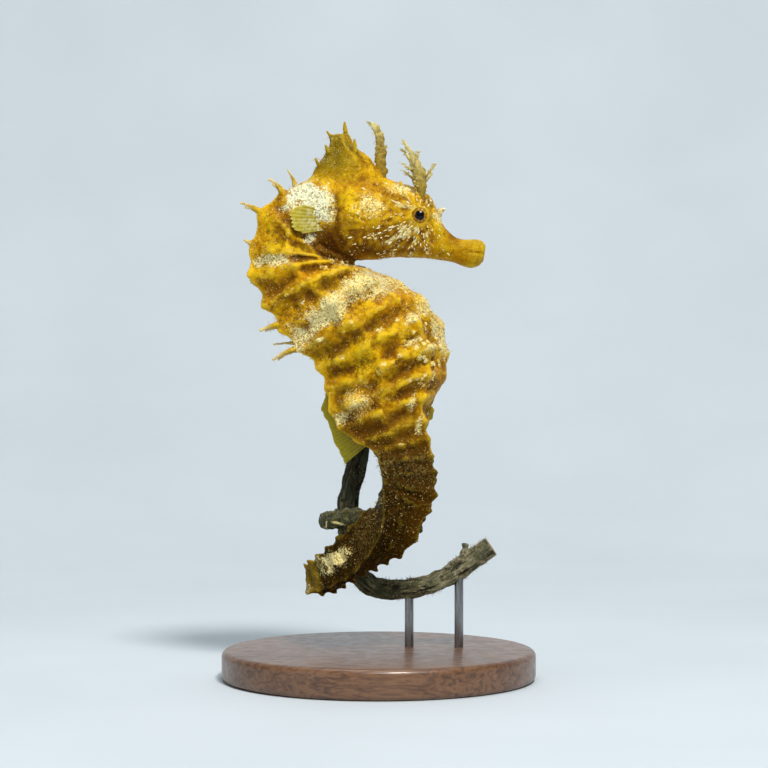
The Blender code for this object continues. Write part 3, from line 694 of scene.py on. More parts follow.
def join_parts(parts):
    """One list of points and faces from several."""
    points = []
    faces = []
    start = 0
    for part_points, part_faces in parts:
        points.append(part_points)
        faces.extend([[index + start for index in face] for face in part_faces])
        start += len(part_points)
    return np.concatenate(points), faces


def vertex_array(mesh):
    flat = np.empty(len(mesh.vertices) * 3)
    mesh.vertices.foreach_get("co", flat)
    return flat.reshape(-1, 3) / MM


def normal_array(mesh):
    flat = np.empty(len(mesh.vertices) * 3)
    mesh.vertex_normals.foreach_get("vector", flat)
    return flat.reshape(-1, 3)


def set_vertices(mesh, points):
    mesh.vertices.foreach_set("co", (points * MM).ravel())
    mesh.update()


def add_layers(mesh, **layers):
    """Values at each point, or one for all, that the materials read."""
    for name, values in layers.items():
        values = np.broadcast_to(values, len(mesh.vertices))
        layer = mesh.attributes.new(name, "FLOAT", "POINT")
        layer.data.foreach_set("value", np.ascontiguousarray(values, dtype=np.float32))


def remesh(obj, voxel):
    """Fuse overlapping shells into one even skin."""
    modifier = obj.modifiers.new("fuse", "REMESH")
    modifier.mode = "VOXEL"
    modifier.voxel_size = voxel * MM
    bpy.context.view_layer.update()
    graph = bpy.context.evaluated_depsgraph_get()
    mesh = bpy.data.meshes.new_from_object(obj.evaluated_get(graph))
    obj.modifiers.clear()
    old = obj.data
    obj.data = mesh
    bpy.data.meshes.remove(old)
    mesh.shade_smooth()


# ---------------------------------------------------------------- the body's loft

def loft_rings():
    """Ring numbers of the loft's rows."""
    head = np.arange(FIRST_RING, 0, 1 / HEAD_STEPS)
    trunk = np.arange(0, TRUNK_END, 1 / TRUNK_STEPS)
    tail = np.arange(TRUNK_END, LAST_RING + 0.01, 1 / TAIL_STEPS)
    return np.concatenate([head, trunk, tail])


def base_loft(rings):
    """Plain CAD outline as a grid: points, outward directions, corners, sides and half widths."""
    half = np.linspace(0, 4, HALF_LOOP + 1)
    corner = np.concatenate([half, half[-2:0:-1]])
    sign = np.concatenate([np.ones(HALF_LOOP + 1), -np.ones(HALF_LOOP - 1)])
    low = np.minimum(corner.astype(int), 3)
    share = (corner - low)[None, :, None]
    sections = [Section(float(ring)) for ring in rings]
    corners = np.array([corners_at(ring) for ring in rings])
    reach = np.linalg.norm(corners, axis=-1)[..., None]
    reach = mix(reach, 1.0, 0.85 * ease(rings, 25.0, 33.0)[:, None, None])
    flat = mix(corners[:, low], corners[:, low + 1], share)
    curved = unit(flat) * mix(reach[:, low], reach[:, low + 1], share)
    bend = mix(1.0, 0.45, ease(rings, -2.0, 2.0)) * mix(1.0, 0.55, ease(rings, 9.5, 14.0))
    bend = mix(bend, 1.0, ease(rings, 24.0, 34.0))
    place = mix(flat, curved, bend[:, None, None])
    back, side, centre, depth, width = (
        np.array([getattr(section, part) for section in sections])[:, None]
        for part in ("back", "side", "centre", "depth", "width")
    )
    out = back * (place[..., 0] * depth)[..., None]
    out = out + side * (place[..., 1] * width * sign)[..., None]
    tip = 1 - 0.22 * ease(-rings, 13.7, 14.0) - 0.5 * ease(rings, LAST_RING - 0.6, LAST_RING)
    out = out * tip[:, None, None]
    return centre + out, unit(out), corner[None, :], sign[None, :], width


def armour_relief(ring, corner, width, patchy):
    """Ring ridges, long ridges, knobs where they cross, and plates between."""
    in_neck = 1 - ease(ring, 2.5, 4.5)
    in_trunk = band(ring, 2.0, 5.0, 11.0, 13.5)
    in_tail = ease(ring, 10.0, 14.0)
    on_body = ease(ring, 0.4, 1.4)
    rib, knob, keel, hollow = (mix(trunk, tail * width, in_tail) for trunk, tail in ARMOUR_HEIGHTS)
    slant = -0.30 * np.sin(corner * math.pi / 2) * in_trunk
    beat = (1 + np.cos(math.tau * (ring + slant))) / 2
    peak = beat ** 1.2 * on_body * np.clip(1 + 1.1 * patchy, 0.35, 1.7)
    peak = peak * mix(1.0, 0.55, band(ring, 8.5, 10.5, 14.0, 17.0))
    back_edge = (1 - ease(corner, 1.0, 1.8)) * band(ring, 5.5, 7.5, 13.0, 15.0)
    peak = peak * (1 - 0.5 * back_edge)
    line = np.round(corner)
    ridge = bell(corner - line, 0.17) * np.where((line == 0) | (line == 4), 0.35, 1.0)
    between = bell(corner - np.floor(corner) - 0.5, 0.16) * in_trunk
    knob = knob * np.where(line == 3, mix(1.0, 0.35, in_tail), 1.0)
    knob = knob * mix(1.0, 0.5, ease(ring, 26.0, 32.0))
    knob = knob * (1 - 0.35 * bell(corner - 2, 0.4) * in_trunk)
    keel = keel * ridge * on_body
    hollow = hollow * (1 - beat) ** 1.3 * (1 - ridge) * on_body
    tooth = TOOTH_HEIGHT * width * beat ** 3
    tooth = tooth * bell(corner - 3, 0.22) * band(ring, 13.0, 15.5, 26.0, 30.0)
    open_belly = mix(1.0, ease(ring, 2.0, 5.0), ease(corner, 2.0, 4.0))
    inner = (1 - ease(corner, 1.2, 2.2)) * band(ring, 12.0, 13.5, 19.0, 22.0)
    calm = mix(1.0, 0.45, ease(corner, 2.8, 3.7) * (1 - in_tail))
    calm = calm * (1 - 0.65 * inner) * (1 - 0.4 * in_neck)
    return (peak * (rib + knob * (ridge + 0.2 * between)) + keel + tooth - hollow) * open_belly * calm


def angle_round(points, centre):
    return np.arctan2(points[..., 2] - centre[1], points[..., 0] - centre[0])


def distance_from(points, x, z):
    return np.hypot(points[..., 0] - x, points[..., 2] - z)


def swellings(points, rows):
    """Round rises in the side view, from rows of x, z, radius and height."""
    lift = np.zeros(points.shape[:-1])
    for x, z, radius, height in rows:
        lift += height * bell(distance_from(points, x, z), radius)
    return lift


def head_relief(points, ring, flank):
    """Gill cover, eye turret, brow, cheek lines and jaw on both sides."""
    x = points[..., 0]
    z = points[..., 2]
    lift = swellings(points, HEAD_SWELLINGS)
    wander = layered_noise(points, 1.8, 2, 43)
    gill = distance_from(points, *GILL_CENTRE) + 0.35 * wander
    turn = angle_round(points, GILL_CENTRE)
    behind = ease(np.cos(turn + 2.6), 0.2, 0.8)
    lift += behind * (0.14 * bell(gill - GILL_RADIUS + 0.6, 0.5) - 0.30 * bell(gill - GILL_RADIUS, 0.45))
    rays = np.cos(turn * 15 + 1.6 * wander)
    lift += 0.07 * rays * band(gill, 0.8, 1.8, 2.9, 3.8)
    eye = distance_from(points, *EYE_PLACE)
    eye_turn = angle_round(points, EYE_PLACE)
    lift += 0.07 * np.cos(eye_turn * 15 + 2.0 * wander) * band(eye, 1.3, 1.8, 3.0, 4.6)
    lift -= 0.14 * bell(eye - 2.2, 0.35) * ease(np.cos(eye_turn + 2.2), -0.6, 0.6)
    cheek = bell(distance_from(points, 3.6, 58.8), 3.0)
    lift += 0.11 * cheek * np.cos(x * 4.2 - z * 4.6 + 1.2 * wander)
    fold = bell(z - (57.05 + 0.03 * x), 0.22)
    lift -= 0.16 * fold * band(x, -2.5, 0.0, 6.0, 9.0)
    dent = bell(distance_from(points, 8.4, 59.2), 1.5)
    lift -= 0.18 * dent
    jaw = bell(z - (56.9 - 0.12 * (x - 14)), 0.12)
    lift -= 0.22 * jaw * ease(x, 11.9, 13.4)
    return lift * (1 - ease(ring, -0.5, 0.8)) * flank


def flank_relief(points, ring, flank):
    """Separate knobs on the ridges of the trunk."""
    return swellings(points, FLANK_KNOBS) * band(ring, 1.0, 2.5, 13.0, 14.0) * flank


def body_loft():
    """Dense grid of the body with its armour, and what is needed to mark it."""
    rings = loft_rings()
    points, out, corner, sign, width = base_loft(rings)
    ring = np.broadcast_to(rings[:, None], points.shape[:-1])
    flank = ease(np.abs(out[..., 1]), 0.15, 0.6)
    waved = ring + 0.11 * layered_noise(points, 5.0, 2, 31) * band(ring, 1.0, 3.0, 12.0, 16.0)
    armour = armour_relief(waved, corner, width, layered_noise(points, 1.7, 2, 37))
    lift = armour + head_relief(points, ring, flank) + flank_relief(points, ring, flank)
    creases = 0.3 - np.abs(layered_noise(points, 1.3, 2, 15))
    rugged = 0.11 * layered_noise(points, 1.8, 2, 5) + 0.20 * creases
    smooth_snout = ease(ring, -11.5, -9.0)
    lift += rugged * (1 - 0.55 * ease(ring, 14, 20)) * mix(0.3, 1.0, smooth_snout)
    lift -= 0.04
    grid = points + out * lift[..., None]
    corner = np.broadcast_to(corner, ring.shape)
    sign = np.broadcast_to(sign, ring.shape)
    return grid, ring, corner, sign, armour


# ---------------------------------------------------------------- spines and crown

def spine_parts():
    """Pairs of long back spines, and the line of each one."""
    parts = []
    lines = []
    for ring, length, lean in BACK_SPINES:
        section = Section(ring)
        ridge = corners_at(ring)[1]
        for sign in (-1, 1):
            out = section.back * float(ridge[0] * section.depth)
            out = out + section.side * float(ridge[1] * section.width * sign)
            angle = math.radians(lean)
            direction = section.back * math.cos(angle) + section.along * math.sin(angle)
            direction = (direction + section.side * (SPINE_SPLAY * sign)).normalized()
            reach = length * (1.0 if sign == -1 else LEFT_SPINE_SCALE)
            root = section.centre + out * 0.8
            surface = section.centre + out
            tip = surface + direction * reach
            bend = section.along * SPINE_BEND
            points = smooth_path((root, surface + direction * reach * 0.45 - bend, tip), 14)
            share = np.linspace(0, 1, 15)
            radii = 0.19 + 0.80 * (1 - share) ** 3.0
            parts.append(sweep(points, radii, 14, 1.0, 0.2, int(ring)))
            lines.append((np.array(surface), np.array(tip)))
    return parts, lines


def crown_part():
    """Crest with upright folds, its flanks hollow between them."""
    rows = []
    low = CROWN_SECTIONS[0][0]
    high = CROWN_SECTIONS[-1][0]
    turn = full_turn(72)
    for height in np.arange(low, high, 0.12):
        front, rear, half = spline(CROWN_SECTIONS, height)
        front += 0.9 * (1 - float(ease(height, 67.0, 69.8)))
        middle = (front + rear) / 2
        reach = (front - rear) / 2
        rise = ease(height, 66.5, 70.0)
        fold = 1 + 0.11 * rise * np.cos(turn * 5 + 0.6) + 0.05 * rise * np.cos(turn * 11 + height)
        x = middle + reach * np.cos(turn) * (1 + 0.3 * (fold - 1))
        y = half * np.sin(turn) * fold * (1 - 0.12 * rise)
        rows.append(np.stack([x, y, np.full_like(x, height)], axis=-1))
    grid = np.array(rows)
    return tube(grid + 0.12 * layered_noise(grid, 0.9, 2, 63)[..., None] * np.array((1.0, 1.0, 0.6)))


def horn(root, tip, radii, bend, seed):
    """Small bent cone from a root to a tip."""
    start = np.array(root, dtype=float)
    end = np.array(tip, dtype=float)
    points = smooth_path((start, (start + end) / 2 + np.array(bend), end), 10)
    spread = mix(radii[1], radii[0], (1 - np.linspace(0, 1, 11)) ** 1.5)
    return sweep(points, spread, 12, 0.8, 0.16, seed)


def mirrored(place, sign):
    """A place on the animal's left, or its mirror image on the right for -1."""
    return (place[0], place[1] * sign, place[2])


def crown_point_parts():
    """Points of the crown: two in the middle, and pairs beside them."""
    parts = []
    for index, (root, tip) in enumerate(CROWN_MIDDLE_POINTS):
        parts.append(horn(root, tip, (0.85, 0.18), (0.12, 0.0, 0.0), index))
    for index, (root, tip) in enumerate(CROWN_PAIRED_POINTS):
        for sign in (-1, 1):
            bend = (0.12 * (1 - index), 0.1 * sign, -0.1)
            parts.append(horn(mirrored(root, sign), mirrored(tip, sign), (0.8, 0.2), bend, index + 3))
    return parts


def head_horn_parts():
    """The spine over the snout and the fleshy feet of the filaments."""
    parts = [horn(*NOSE_SPINE, (1.15, 0.22), (-0.15, 0.0, 0.1), 9)]
    for sign in (-1, 1):
        for root, tip, radii, bend, seed in BROW_FEET:
            root, tip, bend = (mirrored(place, sign) for place in (root, tip, bend))
            parts.append(horn(root, tip, radii, bend, seed))
    parts.append(horn(*CROWN_FOOT))
    return parts


def throat_part():
    """Folded skin that closes the bend between the jaw's root and the chest."""
    points = smooth_path(THROAT_LINE, 24)
    share = np.linspace(0, 1, 25)
    turn = full_turn(48)
    up = unit(np.cross(np.gradient(points, axis=0), (0.0, 1.0, 0.0)))
    side = np.broadcast_to((0.0, 1.0, 0.0), up.shape)
    blunt = np.sqrt(1 - share ** 6 * 0.8)
    grid = points[:, None] + rings_round(side, up, turn, mix(2.0, 1.1, share) * blunt, 0.95 * blunt)
    folds = 0.04 * np.sin(grid[..., 0] * 6.5 + grid[..., 2] * 2.0)
    return tube(grid + rings_round(side, up, turn, 1.0, 0.0) * folds[..., None])


def small_spine_parts():
    """Thin short spines that stand between the long ones."""
    return [horn(root, tip, (0.38, 0.12), (0.1, 0.0, 0.1), 31) for root, tip in SMALL_SPINES]


# ---------------------------------------------------------------- the skin

def ellipse_mask(points, patches, edge=0.35, ragged=0.35, seed=0):
    """How far inside a set of tilted side-view ellipses points lie, 0 to 1."""
    mask = np.zeros(len(points))
    wander = layered_noise(points, 1.1, 3, seed)
    for x, z, reach, height, tilt, strength in patches:
        angle = math.radians(tilt)
        right = points[:, 0] - x
        up = points[:, 2] - z
        first = (right * math.cos(angle) + up * math.sin(angle)) / reach
        second = (up * math.cos(angle) - right * math.sin(angle)) / height
        inside = 1 - np.hypot(first, second) + wander * ragged
        mask = np.maximum(mask, strength * ease(inside, -edge / 2, edge))
    return mask


def left_shift(points):
    """Points of the left side moved a little, so that the sides differ."""
    wobble = np.stack([value_noise(points, 6.0, 50 + axis) for axis in range(3)], axis=-1)
    left = ease(points[:, 1], -0.5, 2.5)[:, None]
    return points + wobble * left * 1.1


def wart_field(points, ring, corner, armour):
    """Scattered round warts, thickest along the belly edge and on the ridges."""
    cells = cell_distance(points, WART_SPACING, 71)
    belly = ease(corner, 2.3, 3.0) * ease(4.1 - corner, 0.0, 0.4)
    belly = belly * band(ring, 3.0, 4.5, 9.5, 11.0)
    ridges = ease(armour, 0.35, 0.75) * ease(ring, 1.5, 3.0) * 0.75
    chance = np.maximum(belly, ridges) * ease(layered_noise(points, 1.6, 1, 73), -0.5, 0.1)
    cells = cells + 0.12 * value_noise(points, 0.5, 75)
    return ease(0.42 - cells, 0.0, 0.22) * chance


def nearest_marks(points, grid, *layers):
    """For each point, the values of the nearest point of the loft."""
    flat = grid.reshape(-1, 3)
    tree = KDTree(len(flat))
    for index, point in enumerate(flat.tolist()):
        tree.insert(point, index)
    tree.balance()
    found = np.array([tree.find(point)[1] for point in points.tolist()])
    return [layer.reshape(-1)[found] for layer in layers]


def open_sockets(points):
    """Draw the skin over each eyeball as a lid, and open it over the pupil."""
    for sign in (-1, 1):
        apart = distance_from(points, *EYE_PLACE)
        across = points[:, 1] * sign
        here = (across > 0.8) & (apart < LID_RADIUS)
        lid = EYE_CENTRE[1] + np.sqrt(np.maximum(LID_RADIUS ** 2 - apart ** 2, 0.0))
        lidded = np.maximum(across, lid)
        uneven = apart + 0.09 * value_noise(points, 0.5, 27)
        inner = 1 - ease(uneven, EYE_OPENING - 0.16, EYE_OPENING + 0.16)
        sunk = mix(lidded, EYE_CENTRE[1] + 0.1, inner)
        points[here, 1] = (sunk * sign)[here]
    return points


def eye_stripes(points, ring):
    """Pale broken stripes that spread from the eye over the skin round it, and the glint streaks, painted
    highlights.
    """
    apart = distance_from(points, *EYE_PLACE)
    turn = angle_round(points, EYE_PLACE)
    wander = layered_noise(points, 1.4, 2, 97)
    stripe = ease(np.cos(turn * 12 + 3.6 * wander), 0.45, 0.85)
    broken = ease(layered_noise(points, 0.6, 2, 99), -0.10, 0.25)
    reach = ease(apart + 0.4 * wander, 0.95, 1.25) * (1 - ease(apart + 1.2 * wander, 2.2, 3.6))
    reach = reach * ease(np.cos(turn - 2.4), -0.7, 0.5)
    streaks = ellipse_mask(points, GLINT_PATCHES, 0.8, 0.9, 101)
    return np.maximum(0.7 * stripe * broken * reach, 0.55 * streaks) * (ring < -1)


def spine_share(points, lines):
    """How far up the nearest back spine each point lies, 0 off the spines."""
    best = np.zeros(len(points))
    for foot, tip in lines:
        line = tip - foot
        share = (points - foot) @ line / (line @ line)
        apart = np.linalg.norm(points - foot - share[:, None] * line, axis=1)
        best = np.maximum(best, np.clip(share, 0, 1) * (apart < 0.8))
    return best


def neighbour_mean(mesh, values, rounds):
    """Values evened out over each point's neighbours, several times."""
    edges = np.empty(len(mesh.edges) * 2, dtype=np.int32)
    mesh.edges.foreach_get("vertices", edges)
    first, second = edges.reshape(-1, 2).T
    total = len(values)
    count = np.maximum(np.bincount(edges, minlength=total), 1)
    for _ in range(rounds):
        spread = np.empty_like(values)
        for axis in range(values.shape[1]):
            column = values[:, axis]
            spread[:, axis] = np.bincount(first, column[second], total)
            spread[:, axis] += np.bincount(second, column[first], total)
        values = mix(values, spread / count[:, None], 0.7)
    return values


def curvature(mesh, points, normals):
    """Positive on ridges and knobs, negative in furrows, over two widths."""
    near = neighbour_mean(mesh, points, 8)
    far = neighbour_mean(mesh, near, 34)
    fine = np.sum((points - near) * normals, axis=1)
    broad = np.sum((points - far) * normals, axis=1)
    return np.clip(fine / 0.05, -1, 1), np.clip(broad / 0.16, -1, 1)


def fuse_body():
    """Body, crown and spines as one mesh, the marks of its points, and the spines' lines."""
    grid, *layers = body_loft()
    spines, lines = spine_parts()
    lines += [(np.array(root), np.array(tip)) for root, tip in SMALL_SPINES]
    parts = [tube(grid), crown_part(), *spines, *crown_point_parts(), *head_horn_parts(),
             *small_spine_parts(), throat_part()]
    obj = mesh_object("skin", *join_parts(parts))
    remesh(obj, SKIN_VOXEL)
    mesh = obj.data
    points = neighbour_mean(mesh, vertex_array(mesh), 1)
    seam = band(points[:, 2], 65.2, 66.2, 68.0, 69.4) * band(points[:, 0], -8.8, -7.6, 1.4, 2.6)
    set_vertices(mesh, mix(points, neighbour_mean(mesh, points, 45), seam[:, None]))
    found = nearest_marks(vertex_array(mesh), grid, *layers)
    return obj, dict(zip(("ring", "corner", "sign", "armour"), found)), lines


def colour_masks(points, shifted, normals, ring):
    """How white, dark, orange, yellow and red the skin is at each point; the dark is mostly painted
    shade, the red partly.
    """
    masks = {}
    for name, patches, edge, ragged, seed in (
        ("white", WHITE_PATCHES, 0.75, 0.75, 3),
        ("dark", PAINTED_SHADE_PATCHES, 0.8, 0.3, 9),
        ("orange", ORANGE_PATCHES, 0.9, 0.4, 13),
        ("yellow", YELLOW_PATCHES, 0.9, 0.5, 19),
        ("red", RED_PATCHES, 0.9, 0.4, 21),
    ):
        masks[name] = ellipse_mask(shifted, patches, edge, ragged, seed)
    masks["white"] *= 0.35 + 0.65 * ease(np.abs(normals[:, 1]), 0.0, 0.35)
    # Painted shade dims the white patches where they overlap it.
    masks["white"] *= 1 - 0.5 * masks["dark"]
    # The darker ring round the eye is the skin's own colour.
    apart = distance_from(points, *EYE_PLACE) + 0.2 * layered_noise(points, 1.2, 2, 29)
    masks["dark"] = np.maximum(masks["dark"], 0.62 * bell(apart - 1.15, 0.42) * (ring < -2))
    return masks


def skin_grain(points, ring, white):
    """Height of the pimples and of the fine grain."""
    pimples = ease(0.55 - cell_distance(points, PIMPLE_SPACING, 11), 0.0, 0.4)
    rough = 0.25 + 0.75 * ease(layered_noise(points, 2.2, 2, 17), -0.3, 0.5)
    calm = mix(1.0, 0.2, ease(-ring, 9.5, 11.0))
    grain = layered_noise(points, 0.5, 2, 23)
    return PIMPLE_HEIGHT * pimples * (rough * calm + white) + GRAIN_HEIGHT * grain * calm


def region_layers(points, ring, corner):
    """Layers that tell the tail, its turns, the crest, snout and cool nape apart; the low and snout
    layers carry painted shade.
    """
    x = points[:, 0]
    z = points[:, 2]
    edge = 1.2 * layered_noise(points, 2.0, 3, 83)
    height = z + edge
    in_tail = ease(ring, 9.0, 12.0)
    grit = ease(-z - 0.5 * edge, -32.5, -30.5) * ease(z + 0.8 * edge, 25.0, 28.5)
    inner = 0.7 * ease(1.2 - corner, 0.0, 0.7) * (1 - ease(ring, 19.0, 22.0))
    crest = ease(z + 0.4 * edge, 66.0, 69.0) * (1 - ease(x + 0.4 * edge, -5.5, 0.5))
    return {
        "rust": ease(corner, 1.9, 2.9) * band(ring, 13.0, 15.5, 25.0, 27.0),
        # Painted shade: the lower trunk and the tail darker towards the bottom.
        "low": ease(-height, -38.0, -32.0) * in_tail * 0.92,
        "tail": ease(-height, -32.5, -28.5) * in_tail,
        "second_turn": ease(ring + edge, 30.0, 34.0),
        "grit": np.maximum(grit, inner) * in_tail,
        "tail_end": ease(-x + 0.6 * edge, 6.6, 8.2) * ease(-ring, -29.5, -28.0) * in_tail,
        "crest": np.maximum(crest, 0.8 * ease(z, 70.8, 72.2)),
        "snout": ease(-ring, 8.5, 10.5),
        "cool": ease(-x, 4.0, 7.5) * ease(ring, -3.0, -1.0) * (1 - 0.8 * ease(ring, 1.5, 3.0)),
    }


def build_skin(surface):
    """The one skin over head, trunk, tail, crown and back spines."""
    obj, marks, lines = fuse_body()
    mesh = obj.data
    ring, corner, armour = marks["ring"], marks["corner"], marks["armour"]
    points, normals = vertex_array(mesh), normal_array(mesh)
    shifted = left_shift(points)
    masks = colour_masks(points, shifted, normals, ring)
    warts = wart_field(points, ring, corner, armour)
    knob_tops = [(x, z, 0.45 * radius, 0.4 * radius, 20, 1.0) for x, z, radius, _ in FLANK_KNOBS]
    knobs = ellipse_mask(shifted, knob_tops, 0.9, 0.7, 6)
    lift = skin_grain(points, ring, masks["white"]) + WART_HEIGHT * warts
    masks["white"] = np.maximum(masks["white"], np.maximum(0.85 * warts, 0.8 * knobs))
    points = open_sockets(points + normals * lift[:, None])
    set_vertices(mesh, points)
    normals = normal_array(mesh)

    # The curvature layers give the skin's painted highlights on ridges and painted shade in furrows.
    fine, broad = curvature(mesh, points, normals)
    spiny = spine_share(points, lines)
    add_layers(mesh, fine_curve=fine, broad_curve=broad, **masks, spine=spiny)
    add_layers(mesh, **region_layers(points, ring, corner), eye_stripe=eye_stripes(points, ring))
    mesh.materials.append(surface)
    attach(obj, "root")
    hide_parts(*BODY_NODES)
    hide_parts("coronet")
    marks.update(points=points, normals=normals, white=masks["white"], dark=masks["dark"], spiny=spiny)
    return marks


# ---------------------------------------------------------------- materials

class Look:
    """A node material and short ways to add to it."""

    def __init__(self, name, **sockets):
        self.material = bpy.data.materials.new(name)
        self.material.use_nodes = True
        self.nodes = self.material.node_tree.nodes
        self.links = self.material.node_tree.links
        self.shader = self.nodes["Principled BSDF"]
        for socket, value in sockets.items():
            self.shader.inputs[socket.replace("_", " ")].default_value = value

    def node(self, kind, **settings):
        """A new node of one kind with its settings."""
        made = self.nodes.new("ShaderNode" + kind)
        for key, value in settings.items():
            setattr(made, key, value)
        return made

    def plug(self, value, socket):
        """Link another node's output, or set a plain value."""
        if isinstance(value, bpy.types.NodeSocket):
            self.links.new(value, socket)
        else:
            socket.default_value = value

    def coords(self):
        return self.node("TexCoord").outputs["Object"]

    def stretched(self, scale):
        """Object coordinates with a different scale along each axis."""
        mapping = self.node("Mapping")
        self.links.new(self.coords(), mapping.inputs["Vector"])
        mapping.inputs["Scale"].default_value = scale
        return mapping.outputs["Vector"]

    def warped(self, size, reach):
        """Object coordinates bent by noise, so that a pattern loses its regularity."""
        made = self.node("TexNoise")
        self.links.new(self.coords(), made.inputs["Vector"])
        made.inputs["Scale"].default_value = 1 / (size * MM)
        centred = self.node("VectorMath", operation="SUBTRACT")
        self.links.new(made.outputs["Color"], centred.inputs[0])
        centred.inputs[1].default_value = (0.5, 0.5, 0.5)
        scaled = self.node("VectorMath", operation="SCALE")
        self.links.new(centred.outputs["Vector"], scaled.inputs[0])
        scaled.inputs["Scale"].default_value = reach * MM
        moved = self.node("VectorMath", operation="ADD")
        self.links.new(self.coords(), moved.inputs[0])
        self.links.new(scaled.outputs["Vector"], moved.inputs[1])
        return moved.outputs["Vector"]

    def noise(self, size, detail=3.0, roughness=0.55, distortion=0.0, vector=None):
        """Noise from 0 to 1 with features of that size in millimetres."""
        made = self.node("TexNoise")
        self.links.new(vector or self.coords(), made.inputs["Vector"])
        made.inputs["Scale"].default_value = 1 / (size * MM)
        made.inputs["Detail"].default_value = detail
        made.inputs["Roughness"].default_value = roughness
        made.inputs["Distortion"].default_value = distortion
        return made.outputs["Fac"]

    def cells(self, size, feature="F1", vector=None):
        """Distance to the nearest of scattered points about that many millimetres apart."""
        made = self.node("TexVoronoi", feature=feature)
        self.links.new(vector or self.coords(), made.inputs["Vector"])
        made.inputs["Scale"].default_value = 1 / (size * MM)
        return made.outputs["Distance"]

    def layer(self, name, share=None):
        """A layer of the mesh, or only a share of its strength."""
        made = self.node("Attribute", attribute_name=name).outputs["Fac"]
        return self.times(made, share) if share else made

    def ramp(self, factor, *stops):
        """Colour along a factor, from stops of (place, colour or grey)."""
        made = self.node("ValToRGB")
        self.links.new(factor, made.inputs["Fac"])
        elements = made.color_ramp.elements
        while len(elements) < len(stops):
            elements.new(0.5)
        for element, (place, colour) in zip(elements, stops):
            element.position = place
            element.color = (*colour, 1) if isinstance(colour, tuple) else (colour,) * 3 + (1,)
        return made.outputs["Color"]

    def range(self, value, low, high, to_low=0.0, to_high=1.0):
        """A value stretched from one span to another and held within it."""
        made = self.node("MapRange", clamp=True)
        self.plug(value, made.inputs["Value"])
        made.inputs["From Min"].default_value = low
        made.inputs["From Max"].default_value = high
        made.inputs["To Min"].default_value = to_low
        made.inputs["To Max"].default_value = to_high
        return made.outputs["Result"]

    def math(self, operation, first, second=0.0):
        made = self.node("Math", operation=operation)
        self.plug(first, made.inputs[0])
        self.plug(second, made.inputs[1])
        return made.outputs["Value"]

    def times(self, first, second):
        return self.math("MULTIPLY", first, second)

    def blend(self, factor, first, second, mode="MIX"):
        """The first colour, and more of the second as the factor grows."""
        made = self.node("Mix", data_type="RGBA", blend_type=mode)
        self.plug(factor, made.inputs["Factor"])
        for value, socket in ((first, made.inputs[6]), (second, made.inputs[7])):
            self.plug((*value, 1) if isinstance(value, tuple) else value, socket)
        return made.outputs[2]

    def bump(self, height, strength, distance, normal=None):
        made = self.node("Bump")
        self.plug(height, made.inputs["Height"])
        made.inputs["Strength"].default_value = strength
        made.inputs["Distance"].default_value = distance * MM
        if normal:
            self.links.new(normal, made.inputs["Normal"])
        return made.outputs["Normal"]

    def finish(self, colour=None, roughness=None, normal=None):
        for value, socket in ((colour, "Base Color"), (roughness, "Roughness"), (normal, "Normal")):
            if value is not None:
                self.links.new(value, self.shader.inputs[socket])
        return self.material


def trunk_colour(look, curve, streaks, fine):
    """Gold with painted highlights on the ridges, painted shade in the furrows, over the lower body and
    in the shaded areas, and the red areas, partly painted shade.
    """
    broad = look.noise(2.8, 4, 0.6, 0.6)
    colour = look.ramp(broad, (0.33, (0.15, 0.052, 0.001)), (0.43, (0.36, 0.155, 0.002)),
                       (0.54, (0.59, 0.30, 0.003)), (0.68, (0.80, 0.49, 0.005)))
    colour = look.blend(look.layer("orange", 0.8), colour, (0.60, 0.235, 0.002))
    colour = look.blend(look.layer("yellow", 0.85), colour, (0.88, 0.56, 0.005))
    umber = look.range(look.noise(1.5, 4, 0.7, 1.6), 0.47, 0.36, 0.0, 0.6)
    colour = look.blend(umber, colour, (0.20, 0.068, 0.002))
    green = look.range(look.noise(4.5, 2), 0.54, 0.66, 0.0, 0.3)
    colour = look.blend(green, colour, (0.44, 0.33, 0.006))
    # Painted shade: the lower trunk and tail darker towards the bottom.
    low = look.layer("low")
    colour = look.blend(low, colour, look.blend(broad, (0.05, 0.018, 0.001), (0.19, 0.080, 0.002)))
    # Painted highlight: ridge tops lighter, from the skin's curvature.
    ridge = look.range(look.math("ADD", curve, look.range(streaks, 0.3, 0.7, -0.35, 0.35)), 0.15, 0.85)
    ridge = look.times(ridge, look.range(low, 0.0, 0.85, 0.65, 0.15))
    colour = look.blend(ridge, colour, (0.86, 0.56, 0.016))
    # Painted shade: furrows darker, from the skin's curvature.
    furrow = look.range(look.math("ADD", curve, look.range(streaks, 0.3, 0.7, -0.3, 0.3)), -0.05, -0.8)
    colour = look.blend(look.times(furrow, 0.9), colour, (0.115, 0.040, 0.002))
    # Painted shade from the dark layer, in darker brown.
    dark = look.times(look.layer("dark"), look.range(fine, 0.2, 0.7, 0.6, 1.0))
    colour = look.blend(look.times(dark, 0.85), colour, (0.120, 0.040, 0.003))
    # Red layer: painted shade in the throat, and the cheek's own reddish brown.
    red = look.times(look.layer("red"), look.range(streaks, 0.3, 0.55, 0.75, 1.1))
    russet = look.blend(fine, (0.085, 0.020, 0.002), (0.25, 0.088, 0.004))
    colour = look.blend(look.times(red, 0.95), colour, russet)
    # Painted shade: deepest where the dark and red layers meet.
    deep = look.times(look.layer("dark"), look.layer("red"))
    return look.blend(look.times(deep, 0.7), colour, (0.055, 0.013, 0.002))


